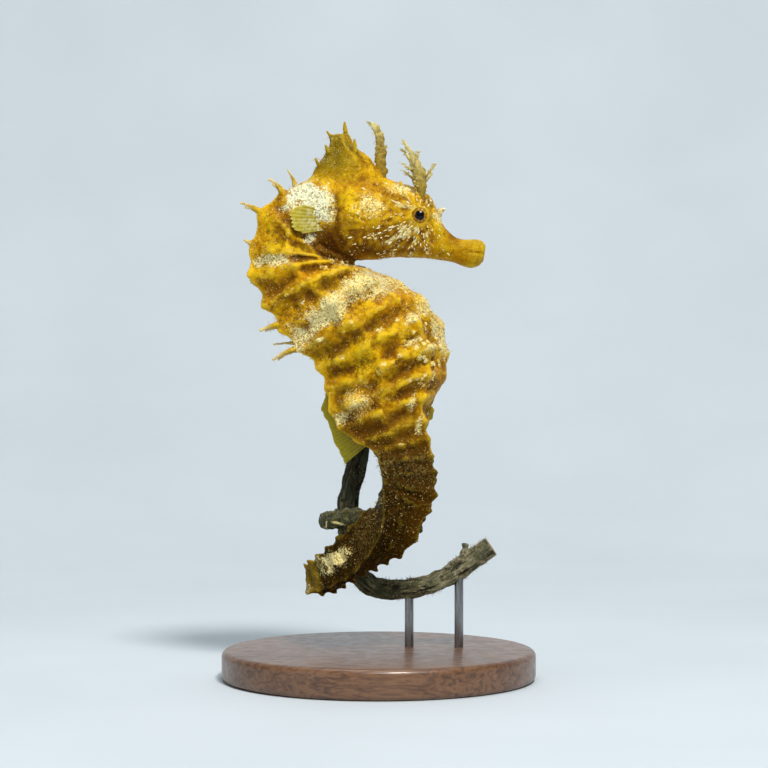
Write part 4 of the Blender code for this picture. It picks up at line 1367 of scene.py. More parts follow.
def tail_colour(look, curve, fine):
    """Dark olive, as dark as the tail looks in shadow and so partly painted shade, with a rusty edge,
    grit, a grey second turn and a golden end.
    """
    olive = look.ramp(look.noise(1.1, 5, 0.7, 0.6), (0.3, (0.008, 0.003, 0.001)),
                      (0.48, (0.019, 0.008, 0.001)), (0.62, (0.040, 0.019, 0.002)),
                      (0.78, (0.11, 0.066, 0.012)))
    rust = look.blend(fine, (0.026, 0.009, 0.001), (0.095, 0.038, 0.002))
    olive = look.blend(look.layer("rust", 0.75), olive, rust)
    grit = look.times(look.layer("grit"), look.range(look.noise(0.35, 4, 0.75), 0.46, 0.62))
    olive = look.blend(look.times(grit, 0.55), olive, (0.24, 0.17, 0.05))
    grey = look.ramp(look.noise(0.8, 4, 0.65, 0.8), (0.3, (0.022, 0.024, 0.013)),
                     (0.5, (0.055, 0.060, 0.034)), (0.72, (0.15, 0.16, 0.10)))
    olive = look.blend(look.layer("second_turn"), olive, grey)
    gold = look.blend(fine, (0.12, 0.060, 0.003), (0.38, 0.25, 0.015))
    olive = look.blend(look.layer("tail_end"), olive, gold)
    # Painted shade: furrows of the tail darker.
    return look.blend(look.range(curve, 0.0, -0.8, 0.0, 0.7), olive, (0.012, 0.006, 0.001))


def fine_detail(look, colour, tail):
    """Grain, and the finest relief with painted highlights on its tops and painted shade in its hollows.
    """
    grain = look.ramp(look.noise(0.20, 3, 0.7), (0.32, 0.66), (0.48, 0.92), (0.60, 1.0))
    colour = look.blend(0.7, colour, grain, "MULTIPLY")
    fine_curve = look.layer("fine_curve")
    bright = look.range(fine_curve, 0.2, 1.0, 0.0, 0.3)
    bright = look.times(bright, look.range(tail, 0.0, 1.0, 1.0, 0.25))
    bright = look.times(bright, look.range(look.layer("red"), 0.0, 1.0, 1.0, 0.3))
    colour = look.blend(bright, colour, (0.86, 0.58, 0.03))
    return look.blend(look.range(fine_curve, -0.1, -0.9, 0.0, 0.45), colour, (0.12, 0.046, 0.003))


def pale_colour(look):
    """Cream, cooler on the nape, with pinholes and wider brown gaps."""
    cream = look.blend(look.layer("cool"), (0.90, 0.76, 0.32), (0.86, 0.88, 0.62))
    pinholes = look.range(look.noise(0.30, 2, 0.5), 0.62, 0.66)
    gaps = look.range(look.cells(0.46, vector=look.warped(0.5, 0.9)), 0.38, 0.28)
    gaps = look.times(gaps, look.range(look.noise(1.3, 2), 0.40, 0.52))
    holes = look.math("MAXIMUM", pinholes, gaps)
    return look.blend(look.times(holes, 0.85), cream, (0.20, 0.13, 0.015))


def skin_look():
    """The whole skin, coloured by the layers of its mesh."""
    look = Look("seahorse_skin", Subsurface_Weight=0.12, Subsurface_Scale=0.0004,
                Subsurface_Radius=(1.0, 0.4, 0.06), Specular_Tint=(1.0, 0.70, 0.16, 1.0))
    tail = look.layer("tail")
    look.links.new(look.range(tail, 0.0, 1.0, 0.12, 0.03), look.shader.inputs["Specular IOR Level"])
    curve = look.layer("broad_curve")
    fine = look.noise(0.5, 3, 0.6)
    streaks = look.noise(0.9, 4, 0.65, 1.2)
    colour = look.blend(tail, trunk_colour(look, curve, streaks, fine), tail_colour(look, curve, fine))
    moss = look.blend(streaks, (0.085, 0.062, 0.002), (0.27, 0.19, 0.004))
    colour = look.blend(look.layer("crest", 0.9), colour, moss)
    # Painted shade: the snout darker, against the brighter light that falls on it.
    colour = look.blend(look.layer("snout"), colour, (0.74, 0.74, 0.60), "MULTIPLY")
    spine = look.layer("spine")
    colour = look.blend(look.range(spine, 0.05, 0.4, 0.0, 0.7), colour, (0.28, 0.15, 0.010))
    colour = look.blend(look.range(spine, 0.4, 0.8, 0.0, 0.85), colour, (0.78, 0.68, 0.40))
    colour = fine_detail(look, colour, tail)
    # Pale stripes round the eye, with painted highlights in the glint streaks.
    colour = look.blend(look.layer("eye_stripe"), colour, (0.92, 0.76, 0.30))
    speckle = look.times(look.math("SUBTRACT", look.noise(0.26, 4, 0.75), 0.5), 3.6)
    edge = look.range(look.math("ADD", look.layer("white"), speckle), 0.36, 0.85)
    colour = look.blend(edge, colour, pale_colour(look))
    rough = look.range(fine, 0.3, 0.7, 0.34, 0.58)
    bumps = look.times(look.cells(0.3, "SMOOTH_F1"), -0.6)
    bumps = look.math("ADD", look.noise(0.20, 3, 0.65), bumps)
    return look.finish(colour, rough, look.bump(bumps, 0.7, 0.13))


def speck_look(name, first, second, roughness=0.35):
    """Small shapes of two colours, shared out by their tone."""
    look = Look(name, Subsurface_Weight=0.2, Subsurface_Scale=0.0003, Coat_Weight=0.2, Coat_Roughness=0.2)
    tone = look.blend(look.layer("tone"), first, second)
    colour = look.blend(look.range(look.noise(0.3, 2), 0.3, 0.7, 0.0, 0.35), tone, (0.45, 0.30, 0.06))
    rough = look.range(look.noise(0.2, 2), 0.3, 0.7, roughness - 0.08, roughness + 0.15)
    return look.finish(colour, rough, look.bump(look.noise(0.12, 2), 0.3, 0.05))


def filament_look():
    """Mottled gold with pale tips and a brown foot."""
    look = Look("filament", Subsurface_Weight=0.15, Subsurface_Scale=0.0004,
                Subsurface_Radius=(1.0, 0.5, 0.1), Specular_IOR_Level=0.25)
    body = look.ramp(look.noise(0.6, 4, 0.7, 0.6), (0.3, (0.080, 0.042, 0.003)),
                     (0.44, (0.20, 0.120, 0.006)), (0.56, (0.38, 0.26, 0.012)),
                     (0.74, (0.58, 0.46, 0.10)))
    tips = look.times(look.layer("tip"), look.range(look.noise(0.5, 2), 0.35, 0.6, 0.4, 1.0))
    colour = look.blend(tips, body, (0.80, 0.71, 0.32))
    colour = look.blend(look.layer("foot", 0.75), colour, (0.27, 0.16, 0.005))
    rough = look.range(look.noise(0.4, 2), 0.3, 0.7, 0.42, 0.65)
    return look.finish(colour, rough, look.bump(look.noise(0.2, 3), 0.6, 0.12))


def fin_look():
    """Thin olive web between pale rays, spotted white near its root."""
    look = Look("fin_membrane", Subsurface_Weight=0.4, Subsurface_Scale=0.0006,
                Subsurface_Radius=(0.9, 0.8, 0.15), Transmission_Weight=0.2, Specular_IOR_Level=0.2)
    reach = look.layer("reach")
    pale = look.layer("pale")
    web = look.ramp(look.noise(0.8, 3), (0.3, (0.15, 0.095, 0.003)), (0.7, (0.34, 0.25, 0.006)))
    web = look.blend(look.times(reach, 0.75), web, (0.55, 0.46, 0.008))
    colour = look.blend(look.layer("ray"), web, (0.76, 0.62, 0.08))
    snow = look.times(look.range(look.noise(0.45, 3), 0.46, 0.60), pale)
    snow = look.times(snow, look.range(reach, 0.8, 0.2, 0.1, 0.7))
    colour = look.blend(snow, colour, (0.86, 0.84, 0.54))
    colour = look.blend(look.range(look.noise(0.5, 2), 0.60, 0.7, 0.0, 0.6), colour, (0.20, 0.11, 0.008))
    rough = look.range(look.noise(0.3, 2), 0.3, 0.7, 0.32, 0.55)
    return look.finish(colour, rough, look.bump(look.noise(0.25, 3), 0.35, 0.06))


def eye_look():
    """Black pupil, thin gold rim and striped iris."""
    look = Look("eye", Coat_Weight=0.12, Coat_Roughness=0.08, Specular_IOR_Level=0.18)
    reach = look.math("ADD", look.layer("reach"), look.range(look.noise(0.5, 2), 0.3, 0.7, -0.05, 0.05))
    spoke = look.times(look.layer("spoke"), look.range(look.noise(0.4, 2), 0.4, 0.6))
    gold = look.ramp(look.noise(0.25, 3), (0.3, (0.16, 0.062, 0.003)), (0.7, (0.44, 0.22, 0.008)))
    striped = look.blend(spoke, gold, (0.60, 0.42, 0.10))
    ring = look.blend(look.range(reach, 0.42, 0.52), (0.30, 0.13, 0.004), striped)
    colour = look.blend(look.range(reach, 0.385, 0.425), (0.001, 0.001, 0.0015), ring)
    rough = look.range(look.noise(0.2, 2), 0.3, 0.7, 0.16, 0.3)
    return look.finish(colour, rough, look.bump(look.noise(0.12, 2), 0.15, 0.03))


def bark_look():
    """Grey green bark with dark cracks, dry and pale spots, and wood where it is cut."""
    look = Look("bark", Specular_IOR_Level=0.25)
    height = look.layer("height")
    tone = look.ramp(look.noise(1.0, 5, 0.7, 0.5), (0.3, (0.026, 0.021, 0.008)),
                     (0.46, (0.090, 0.078, 0.036)), (0.6, (0.200, 0.185, 0.090)),
                     (0.76, (0.40, 0.37, 0.21)))
    # Painted shade from the shade layer.
    tone = look.blend(look.layer("shade"), tone, (0.012, 0.010, 0.006))
    dry = look.times(look.layer("dry"), look.range(look.noise(0.7, 4, 0.7), 0.42, 0.62))
    tone = look.blend(dry, tone, (0.50, 0.44, 0.28))
    colour = look.blend(look.range(height, -0.05, -0.5, 0.0, 0.9), tone, (0.008, 0.006, 0.003))
    colour = look.blend(look.range(height, 0.12, 0.45, 0.0, 0.5), colour, (0.30, 0.27, 0.16))
    green = look.range(look.noise(2.4, 3), 0.48, 0.62, 0.0, 0.6)
    colour = look.blend(green, colour, (0.065, 0.085, 0.038))
    pale = look.range(look.cells(0.45), 0.20, 0.12)
    pale = look.times(pale, look.range(look.noise(1.7, 2), 0.5, 0.6))
    colour = look.blend(look.times(pale, 0.8), colour, (0.50, 0.48, 0.32))
    rings = look.node("TexNoise")
    rings.inputs["Scale"].default_value = 900
    wood = look.ramp(rings.outputs["Fac"], (0.3, (0.20, 0.13, 0.06)), (0.7, (0.40, 0.30, 0.17)))
    colour = look.blend(look.layer("cut"), colour, wood)
    rough = look.range(look.noise(0.4, 3), 0.3, 0.7, 0.68, 0.95)
    return look.finish(colour, rough, look.bump(look.noise(0.22, 4, 0.7), 0.9, 0.18))


def wood_look():
    """Dark walnut with a long figure and fine pores, lightly worn."""
    look = Look("walnut", Coat_Weight=0.35, Coat_Roughness=0.22)
    along = look.stretched((0.35, 3.2, 3.2))
    figure = look.noise(3.0, 5, 0.6, 1.4, along)
    colour = look.ramp(figure, (0.30, (0.045, 0.018, 0.008)), (0.47, (0.12, 0.052, 0.022)),
                       (0.58, (0.20, 0.095, 0.042)), (0.72, (0.11, 0.05, 0.022)))
    pores = look.range(look.noise(0.35, 3, 0.6, 0.0, look.stretched((0.12, 2.4, 2.4))), 0.60, 0.70)
    colour = look.blend(look.times(pores, 0.7), colour, (0.025, 0.010, 0.005))
    worn = look.range(look.noise(5.0, 3), 0.4, 0.7, 0.0, 0.18)
    colour = look.blend(worn, colour, (0.24, 0.13, 0.07))
    rough = look.range(look.noise(1.5, 3), 0.3, 0.7, 0.32, 0.5)
    normal = look.bump(look.math("SUBTRACT", figure, pores), 0.25, 0.12)
    return look.finish(colour, rough, normal)


def steel_look():
    """Steel brushed along the rods, with dull patches."""
    look = Look("brushed_steel", Metallic=1.0)
    brush = look.noise(0.12, 3, 0.6, 0.0, look.stretched((1.0, 1.0, 0.05)))
    colour = look.ramp(brush, (0.3, (0.20, 0.20, 0.205)), (0.7, (0.38, 0.38, 0.385)))
    dull = look.range(look.noise(2.0, 3), 0.45, 0.7, 0.0, 0.4)
    colour = look.blend(dull, colour, (0.30, 0.29, 0.28))
    rough = look.range(brush, 0.3, 0.7, 0.24, 0.42)
    return look.finish(colour, rough, look.bump(brush, 0.2, 0.03))


def floor_look():
    """Pale blue grey, barely mottled."""
    look = Look("floor", Roughness=0.85)
    colour = look.ramp(look.noise(60, 2), (0.3, (0.54, 0.60, 0.64)), (0.7, (0.58, 0.64, 0.68)))
    return look.finish(colour)


# ---------------------------------------------------------------- small things

def spike_template(rows, sides):
    """Small shape of unit height and radius, from (height, radius) rows, with a pointed top."""
    turn = full_turn(sides)
    points = [(wide * math.cos(a), wide * math.sin(a), height) for height, wide in rows for a in turn]
    points.append((0, 0, 1.0))
    faces = []
    for low in range(0, len(points) - 1, sides):
        high = low + sides
        for step in range(sides):
            after = (step + 1) % sides
            if high < len(points) - 1:
                faces.append((low + step, low + after, high + after))
                faces.append((low + step, high + after, high + step))
            else:
                faces.append((low + step, low + after, high))
    return np.array(points), np.array(faces)


def scatter(name, template, roots, directions, lengths, radii, surface, lean=None, stretch=None,
            tone=None, places=None):
    """One mesh of many small copies of a template standing on the skin.

    lean moves each tip sideways; stretch is (direction, ratio) and lengthens
    the foot along the skin; places are the roots on an unwrap of the skin.
    """
    shape, triangles = template
    count = len(roots)
    up = unit(directions)
    helper = RANDOM.normal(size=(count, 3)) if stretch is None else stretch[0]
    first = unit(helper - up * np.sum(helper * up, axis=1, keepdims=True))
    second = np.cross(up, first)
    ratio = 1.0 if stretch is None else stretch[1][:, None, None]
    radii = np.broadcast_to(radii, count)[:, None, None]
    lengths = lengths[:, None, None]
    points = roots[:, None] + first[:, None] * shape[None, :, 0:1] * radii * ratio
    points = points + second[:, None] * shape[None, :, 1:2] * radii
    points = points + up[:, None] * shape[None, :, 2:3] * lengths
    if lean is not None:
        points = points + lean[:, None] * lengths * np.maximum(shape[None, :, 2:3], 0) ** 2
    faces = (triangles[None] + (np.arange(count) * len(shape))[:, None, None]).reshape(-1, 3)
    obj = mesh_object(name, points, faces, surface)
    if tone is None:
        tone = RANDOM.random(count)
    add_layers(obj.data, tone=np.repeat(tone, len(shape)))
    if places is not None:
        add_bake_map(obj.data, places, shape, triangles)
    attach(obj, "root")
    return obj


def add_bake_map(mesh, places, shape, triangles):
    """UV map where each small copy is a small patch at its root's place."""
    layer = mesh.uv_layers.new(name="OFBake")
    local = shape[:, :2] / (2 * np.abs(shape[:, :2]).max())
    corners = local[triangles.ravel()] * BAKE_PATCH
    flat = places[:, None] + corners[None]
    layer.data.foreach_set("uv", flat.ravel().astype(np.float32))


def unwrap(marks, chosen):
    """Place on the unwrap of the body: along its rings and round it."""
    along = (marks["ring"][chosen] - FIRST_RING) / (LAST_RING - FIRST_RING)
    around = 0.5 + marks["sign"][chosen] * marks["corner"][chosen] / 8
    places = np.stack([along, around], axis=-1)
    return np.clip(places, BAKE_PATCH, 1 - BAKE_PATCH)


def pick(weights, count):
    """Random skin points, more of them where the weight is higher."""
    chance = weights / weights.sum()
    return RANDOM.choice(len(weights), size=count, replace=False, p=chance)


def scatter_on(marks, chosen, name, template, lengths, radii, surface, **more):
    """Small shapes on chosen points of the skin."""
    scatter(name, template, marks["points"][chosen], marks["normals"][chosen], lengths, radii, surface,
            places=unwrap(marks, chosen), **more)


def clear_of_eye(points, ring):
    """Where small shapes may stand, beyond the eye and its lid."""
    return ~((distance_from(points, *EYE_PLACE) < EYE_CLEARANCE) & (ring < -2))


def away_from_eye(points, shift=0.0):
    """Side-view directions from the eye, or from a place shifted to its upper front."""
    away = points - np.array((EYE_CENTRE[0] + shift, 0, EYE_CENTRE[2] + shift))
    away[:, 1] = 0
    return away


def build_cheek_specks(marks, surface):
    """Dashes in rows round the eye, partly the skin's pale dots and partly painted highlight, and the
    brightest glints below it, painted highlights.
    """
    points, normals, ring = marks["points"], marks["normals"], marks["ring"]
    clear = clear_of_eye(points, ring)
    template = spike_template(DOME, 5)

    cheek = bell(distance_from(points, 4.0, 59.0), 5.0) * (ring < 0.3) * (ring > -11)
    cheek = cheek * clear * ease(np.abs(normals[:, 1]), 0.2, 0.6) * ease(67.5 - points[:, 2], 0, 2)
    turn = angle_round(points, EYE_PLACE)
    rows = np.cos(turn * 14 + 1.6 * layered_noise(points, 1.6, 2, 45))
    chosen = pick(cheek * (0.12 + ease(rows, 0.3, 0.9)) + 1e-9, DASH_COUNT)
    away = away_from_eye(points[chosen])
    size = 0.045 + 0.10 * RANDOM.random(DASH_COUNT) ** 2.0
    scatter_on(marks, chosen, "cheek_dashes", template, size * 1.1, size, surface,
               stretch=(away, RANDOM.uniform(1.0, 3.4, DASH_COUNT)))

    bright = ellipse_mask(points, GLINT_PATCHES, 0.5, 0.6, 101) * (ring < -1) * clear
    chosen = pick(bright * ease(np.abs(normals[:, 1]), 0.3, 0.7) + 1e-9, GLINT_COUNT)
    away = away_from_eye(points[chosen], 1.0)
    size = RANDOM.uniform(0.05, 0.11, GLINT_COUNT)
    scatter_on(marks, chosen, "eye_glints", template, size, size, surface,
               stretch=(away, RANDOM.uniform(1.2, 4.5, GLINT_COUNT)))


def build_papillae(marks, surface):
    """Blunt papillae over the ridges and pale patches."""
    points, ring, white = marks["points"], marks["ring"], marks["white"]
    clear = clear_of_eye(points, ring)
    belly = ease(marks["corner"], 2.4, 3.2) * band(ring, 3.0, 4.5, 10.0, 12.0)
    weight = 0.12 + 0.8 * ease(marks["armour"], 0.2, 0.7) + 1.6 * white + 0.9 * belly
    weight = weight * clear * (ring > -10.5) * mix(1.0, 0.015, ease(ring, 11.5, 14.0))
    weight *= ease(layered_noise(points, 1.8, 2, 41), -0.25, 0.35) * (1 - 0.7 * marks["dark"])
    chosen = pick(weight, PAPILLA_COUNT)
    size = (0.035 + 0.06 * RANDOM.random(PAPILLA_COUNT) ** 2) * (1 + 0.3 * white[chosen])
    tone = np.clip(white[chosen] + RANDOM.uniform(-0.2, 0.5, PAPILLA_COUNT), 0, 1)
    scatter_on(marks, chosen, "skin_papillae", spike_template(DOME, 5), size * 1.5, size, surface,
               tone=tone)


def build_threads(marks, surface):
    """Fine skin threads along the chin, chest edge, crown and spines."""
    points, normals = marks["points"], marks["normals"]
    ring, corner = marks["ring"], marks["corner"]
    template = spike_template(THREAD, 3)
    chin = ((corner > 3.2) & (ring > -11) & (ring < -3)).astype(float)
    chest = ((corner > 3.0) & (ring > 2.5) & (ring < 9)).astype(float) * 0.8
    back = ((corner < 1.3) & (ring > 0.5) & (ring < 11)).astype(float) * 0.45
    crest = ease(points[:, 2], 67.5, 69.0) * 1.6
    tail = ((ring > 11.5) & (ring < 30)).astype(float) * 0.03
    weight = chin + chest + back + crest + tail + marks["white"] * 0.8
    chosen = pick(weight * ease(layered_noise(points, 1.5, 2, 61), -0.3, 0.3) + 1e-9, THREAD_COUNT)
    length = 0.10 + 0.28 * RANDOM.random(THREAD_COUNT) ** 2
    lean = RANDOM.normal(scale=0.35, size=(THREAD_COUNT, 3))
    tone = RANDOM.random(THREAD_COUNT)
    scatter_on(marks, chosen, "skin_threads", template, length, THREAD_RADIUS, surface, lean=lean,
               tone=tone)

    rear_crest = ease(points[:, 2], 68.5, 71.0) * ease(-points[:, 0], 3.8, 5.2)
    nape = bell(distance_from(points, -11.0, 66.0), 2.0) * ease(normals[:, 2], 0.2, 0.7)
    inner_tail = ease(1.3 - corner, 0.0, 0.6) * band(ring, 12.5, 14.0, 17.5, 19.5)
    spined = ease(1.6 - corner, 0.0, 0.4) * band(ring, 4.5, 5.5, 7.5, 8.5)
    spiny = marks["spiny"] * ease(ring, 4.0, 4.5)
    nose = bell(distance_from(points, 8.7, 62.2), 0.9) * (ring < -5)
    weight = nose * 5.0 + chest * 0.25 + rear_crest * 2.6 + nape * 0.5
    weight = weight + inner_tail * 0.9 + spined * 0.7 + spiny
    chosen = pick(weight * ease(layered_noise(points, 1.0, 2, 67), -0.1, 0.3) + 1e-9, HAIR_COUNT)
    length = 0.16 + 0.50 * RANDOM.random(HAIR_COUNT) ** 1.8
    lean = RANDOM.normal(scale=0.45, size=(HAIR_COUNT, 3))
    tone = RANDOM.random(HAIR_COUNT) * mix(1.0, 0.4, ease(ring[chosen], 12.0, 14.0))
    scatter_on(marks, chosen, "skin_hairs", template, length, HAIR_RADIUS, surface, lean=lean,
               tone=tone)


# ---------------------------------------------------------------- eyes

def build_eye(name, sign, surface):
    """Eyeball with a slightly raised pupil, striped iris and clear coat."""
    rows = 40
    columns = 96
    polar = np.linspace(0.0, 2.3, rows)[:, None]
    turn = full_turn(columns)[None]
    bulge = EYE_RADIUS * (1 + 0.05 * bell(polar, 0.5))
    x = EYE_CENTRE[0] + bulge * np.sin(polar) * np.cos(turn)
    z = EYE_CENTRE[2] + bulge * np.sin(polar) * np.sin(turn)
    y = (EYE_CENTRE[1] + bulge * np.cos(polar) * np.ones_like(turn)) * sign
    grid = np.stack([x, y, z], axis=-1)
    faces = grid_faces(rows, columns, True)
    if sign == 1:
        faces = faces[:, ::-1]
    obj = mesh_object(name + "_ball", grid, faces, surface)
    reach = np.sin(polar) * np.ones_like(turn)
    stripe = np.cos(turn * 11 + 0.6 * np.sin(turn * 3)) + 0.3 * np.cos(turn * 23 + 1)
    spoke = ease(stripe, 0.1, 0.7) * np.ones_like(polar)
    add_layers(obj.data, reach=np.where(polar > 1.5, 1.0, reach).ravel(), spoke=spoke.ravel())
    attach(obj, "root")
    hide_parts(name)


# ---------------------------------------------------------------- filaments

def branch_set(branches, sign, scale):
    """Branches of one filament mirrored to a side and scaled about its foot."""
    foot = np.array(branches[0][0][0], dtype=float)
    made = []
    for knots, radius in branches:
        moved = foot + (np.array(knots, dtype=float) - foot) * scale
        moved[:, 1] *= sign
        made.append((moved, radius))
    return made


def blade(points, radii, wide, seed):
    """Flat tube, widest along the given direction, with a lumpy edge."""
    along = path_frames(points)[0]
    broad = unit(np.array(wide) - along * (along @ np.array(wide))[:, None])
    turn = full_turn(FILAMENT_SIDES)
    ring = rings_round(broad, np.cross(along, broad), turn, radii, np.minimum(radii * 0.6, 0.34))
    grid = points[:, None] + ring
    return tube(grid + ring * (layered_noise(grid, 0.45, 2, seed)[..., None] * 0.45))


def fringe_part(local, start, along, reach):
    """One short soft side thread with a small knob at its end."""
    out = np.array((local.choice((-1.0, 1.0), p=(0.8, 0.2)), local.normal(0, 0.45), 0.0))
    end = start + (unit(out) + along * local.uniform(0.1, 0.8)) * reach
    bend = (start + end) / 2 + along * local.uniform(-0.05, 0.12)
    points = smooth_path((start, bend, end), len(FRINGE_SHAPE) - 1)
    thick = local.uniform(0.05, 0.085)
    return sweep(points, thick * np.array(FRINGE_SHAPE), FRINGE_SIDES)


def build_filament(name, branches, widths, surface, seed):
    """Flat branching skin filament with a fringe of short side threads."""
    local = np.random.default_rng(seed)
    parts = []
    tips = []
    feet = []
    for index, (knots, radius) in enumerate(branches):
        count = 14 * (len(knots) - 1)
        points = smooth_path(knots, count)
        share = np.linspace(0, 1, count + 1)
        sway = 0.06 * np.sin(share * 9 + seed)[:, None] * np.array((1, 0.5, 0))
        points = points + sway * share[:, None]
        if index:
            radii = mix(radius * 0.8, 0.11, share)
            foot = np.zeros(count + 1)
            fringe = 0.45
        else:
            radii = np.array([spline(widths, at)[0] for at in share])
            foot = 1 - ease(share, 0.05, 0.4)
            fringe = 1.0
        radii = radii * (1 + 0.10 * np.sin(share * 29 + seed))
        parts.append(blade(points, radii, (1, 0, 0.1), seed + index))
        tips.append(np.repeat(share ** 2, FILAMENT_SIDES))
        feet.append(np.repeat(foot, FILAMENT_SIDES))
        along = path_frames(points)[0]
        for _ in range(int(FRINGE * len(knots) * fringe)):
            at = local.integers(5, count + 1)
            reach = local.uniform(0.12, 0.45) + radii[at] * 0.8
            parts.append(fringe_part(local, points[at], along[at], reach))
            tips.append(np.repeat(np.linspace(0.0, 1.1, len(FRINGE_SHAPE)), FRINGE_SIDES))
            feet.append(np.zeros(len(FRINGE_SHAPE) * FRINGE_SIDES))
    obj = mesh_object(name + "_fringed", *join_parts(parts), surface)
    add_layers(obj.data, tip=np.clip(np.concatenate(tips), 0, 1), foot=np.concatenate(feet))
    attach(obj, "root")
    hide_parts(name)


# ---------------------------------------------------------------- fins

def build_fin(name, roots, tips, rays, surface, thickness=0.16, curl=0.0, marked=0.25, pale=0.0,
              bright=1.0, taper=(0.0, 0.0)):
    """Thin web between raised rays, with a slightly uneven edge."""
    rows = rays * 6
    columns = 26
    share = np.linspace(0, 1, rows)
    root_line = smooth_path(roots, rows - 1)
    tip_line = smooth_path(tips, rows - 1)
    ray = (1 + np.cos(math.tau * share * (rays - 1))) / 2
    reach = np.linspace(0, 1, columns)
    along_edge = share[:, None] * np.array((mix(rays * 0.8, 3.5, pale), 0, 0))
    uneven = value_noise(along_edge, 1.0, rays)
    edge = 1 - (0.025 + 0.03 * pale) * (1 - ray) ** 2 + 0.05 * uneven
    edge = edge * (1 - taper[0] * (1 - ease(share, 0.0, 0.22)) ** 1.3)
    edge = edge * (1 - taper[1] * (1 - ease(1 - share, 0.0, 0.22)) ** 1.3)
    outward = tip_line - root_line
    grid = root_line[:, None] + outward[:, None] * (reach[None] * edge[:, None])[..., None]
    across = unit(np.cross(np.gradient(tip_line, axis=0), outward))[:, None]
    wave = 0.05 * marked * np.cos(math.tau * share * (rays - 1))[:, None] * np.ones_like(reach)
    wave = wave + 0.10 * np.sin(share * 7.0)[:, None] * reach[None] ** 2
    wave = wave + curl * reach[None] ** 2
    grid = grid + across * wave[..., None]
    half = thickness * mix(0.55, 1.0, ray[:, None] ** 2) * mix(1.0, 0.45, reach[None]) / 2
    front = grid + across * half[..., None]
    behind = grid - across * half[..., None]
    points = np.concatenate([front.reshape(-1, 3), behind.reshape(-1, 3)])
    faces = grid_faces(rows, columns, False)
    total = rows * columns
    back_faces = faces[:, ::-1] + total
    index = np.arange(total).reshape(rows, columns)
    border = np.concatenate([index[:, 0], index[-1, 1:], index[-2::-1, -1], index[0, -2:0:-1]])
    after = np.roll(border, -1)
    rim = np.stack([border, after, after + total, border + total], axis=-1)
    obj = mesh_object(name + "_rayed", points, np.concatenate([faces, back_faces, rim]), surface)
    strength = np.tile(np.repeat(ray ** 1.5, columns), 2)
    add_layers(obj.data, ray=strength * marked, reach=np.tile(reach, rows * 2) * bright, pale=pale)
    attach(obj, "root")
    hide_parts(name)


def build_pectoral_fins(surface):
    for name, sign in (("fin_pectoral_right", -1), ("fin_pectoral_left", 1)):
        roots = np.linspace(*np.array(PECTORAL_ROOTS), 3)
        tips = np.linspace(*np.array(PECTORAL_TIPS), 5)
        tips[:, 0] -= PECTORAL_BOW * np.sin(math.pi * np.linspace(0, 1, 5))
        roots[:, 0] += 0.5
        roots[:, 1] = (roots[:, 1] - 0.35) * sign
        tips[:, 1] *= sign
        build_fin(name, roots, tips, 9, surface, thickness=0.24, curl=0.15, marked=0.6, pale=1.0,
                  taper=(0.22, 0.26))


def build_dorsal_fin(surface):
    roots = []
    for ring in np.linspace(*DORSAL_SPAN, len(DORSAL_TIPS)):
        section = Section(float(ring))
        roots.append(section.centre + section.back * (section.depth - 0.9))
    tips = [(x, 0.0, z) for x, z in DORSAL_TIPS]
    build_fin("fin_dorsal", np.array(roots), np.array(tips), 24, surface, thickness=0.2, taper=(0.5, 0.0))


def build_anal_fin(surface):
    roots = []
    tips = []
    for ring in np.linspace(*ANAL_SPAN, 3):
        section = Section(float(ring))
        edge = section.centre - section.back * section.depth
        outward = (section.along - section.back).normalized()
        roots.append(edge + section.back * 0.4)
        tips.append(edge + outward * ANAL_LENGTH)
    build_fin("fin_anal", np.array(roots), np.array(tips), 5, surface, bright=0.1, marked=0.1,
              taper=(0.5, 0.6))


# ---------------------------------------------------------------- perch and stand

def bark_relief(points, turn, seed):
    """Radius of the stem all over, with long fibres, cracks and lumps, and the bark's height."""
    travel = np.concatenate([[0], np.cumsum(np.linalg.norm(np.diff(points, axis=0), axis=1))])
    sheet = np.broadcast_arrays(np.cos(turn) * 1.4, np.sin(turn) * 1.4, travel[:, None] * 0.16)
    flat = np.stack(sheet, axis=-1)
    fibres = layered_noise(flat, 0.30, 3, seed)
    cracks = -np.maximum(0, 0.30 - np.abs(layered_noise(flat + 7, 0.6, 3, seed + 3)) * 2.0)
    lumps = layered_noise(flat * np.array((1, 1, 5.0)), 1.1, 3, seed + 5)
    radius = STEM_RADIUS * 0.98 + 0.20 * fibres + 0.55 * cracks + 0.24 * (lumps - 0.25)
    free = np.maximum(ease(points[:, 0], 2.5, 4.5), ease(points[:, 2], 25.0, 27.0))[:, None]
    return np.minimum(radius, STEM_RADIUS * (1.02 + 0.14 * free)), 0.6 * fibres + 1.6 * cracks


def bark_tube(name, points, surface, seed):
    """Stem with rough bark and sawn, slightly domed ends."""
    rows = len(points)
    columns = BARK_COLUMNS
    along, across, upright = path_frames(points)
    turn = full_turn(columns)
    radius, height = bark_relief(points, turn, seed)
    grid = points[:, None] + rings_round(across, upright, turn, 1.0, 1.0) * radius[..., None]
    faces = grid_faces(rows, columns, True).tolist()
    places = [grid.reshape(-1, 3)]
    heights = [height.ravel()]
    cuts = [np.zeros(rows * columns)]
    base = rows * columns
    for end, direction, order in ((0, -along[0], -1), (rows - 1, along[-1], 1)):
        start = end * columns
        for share, rise, level in SAWN_LOOPS:
            places.append(points[end] + (grid[end] - points[end]) * share + direction * rise)
            heights.append(np.full(columns, level))
            cuts.append(np.ones(columns))
            for step in range(columns):
                after = (step + 1) % columns
                faces.append([start + step, start + after, base + after, base + step][::order])
            start = base
            base += columns
        faces.append(list(range(start, start + columns))[::order])
    places = np.concatenate(places)
    obj = mesh_object(name, places, faces, surface)
    # Painted shade: the upright part of the stem, behind the seahorse, darker.
    shade = 0.75 * ease(-places[:, 0], -1.5, 1.0) * ease(places[:, 2], 20.0, 23.0)
    dry = 0.8 * ease(places[:, 0], 4.0, 11.0)
    add_layers(obj.data, height=np.concatenate(heights), cut=np.concatenate(cuts), shade=shade, dry=dry)
    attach(obj, "root")
    return obj


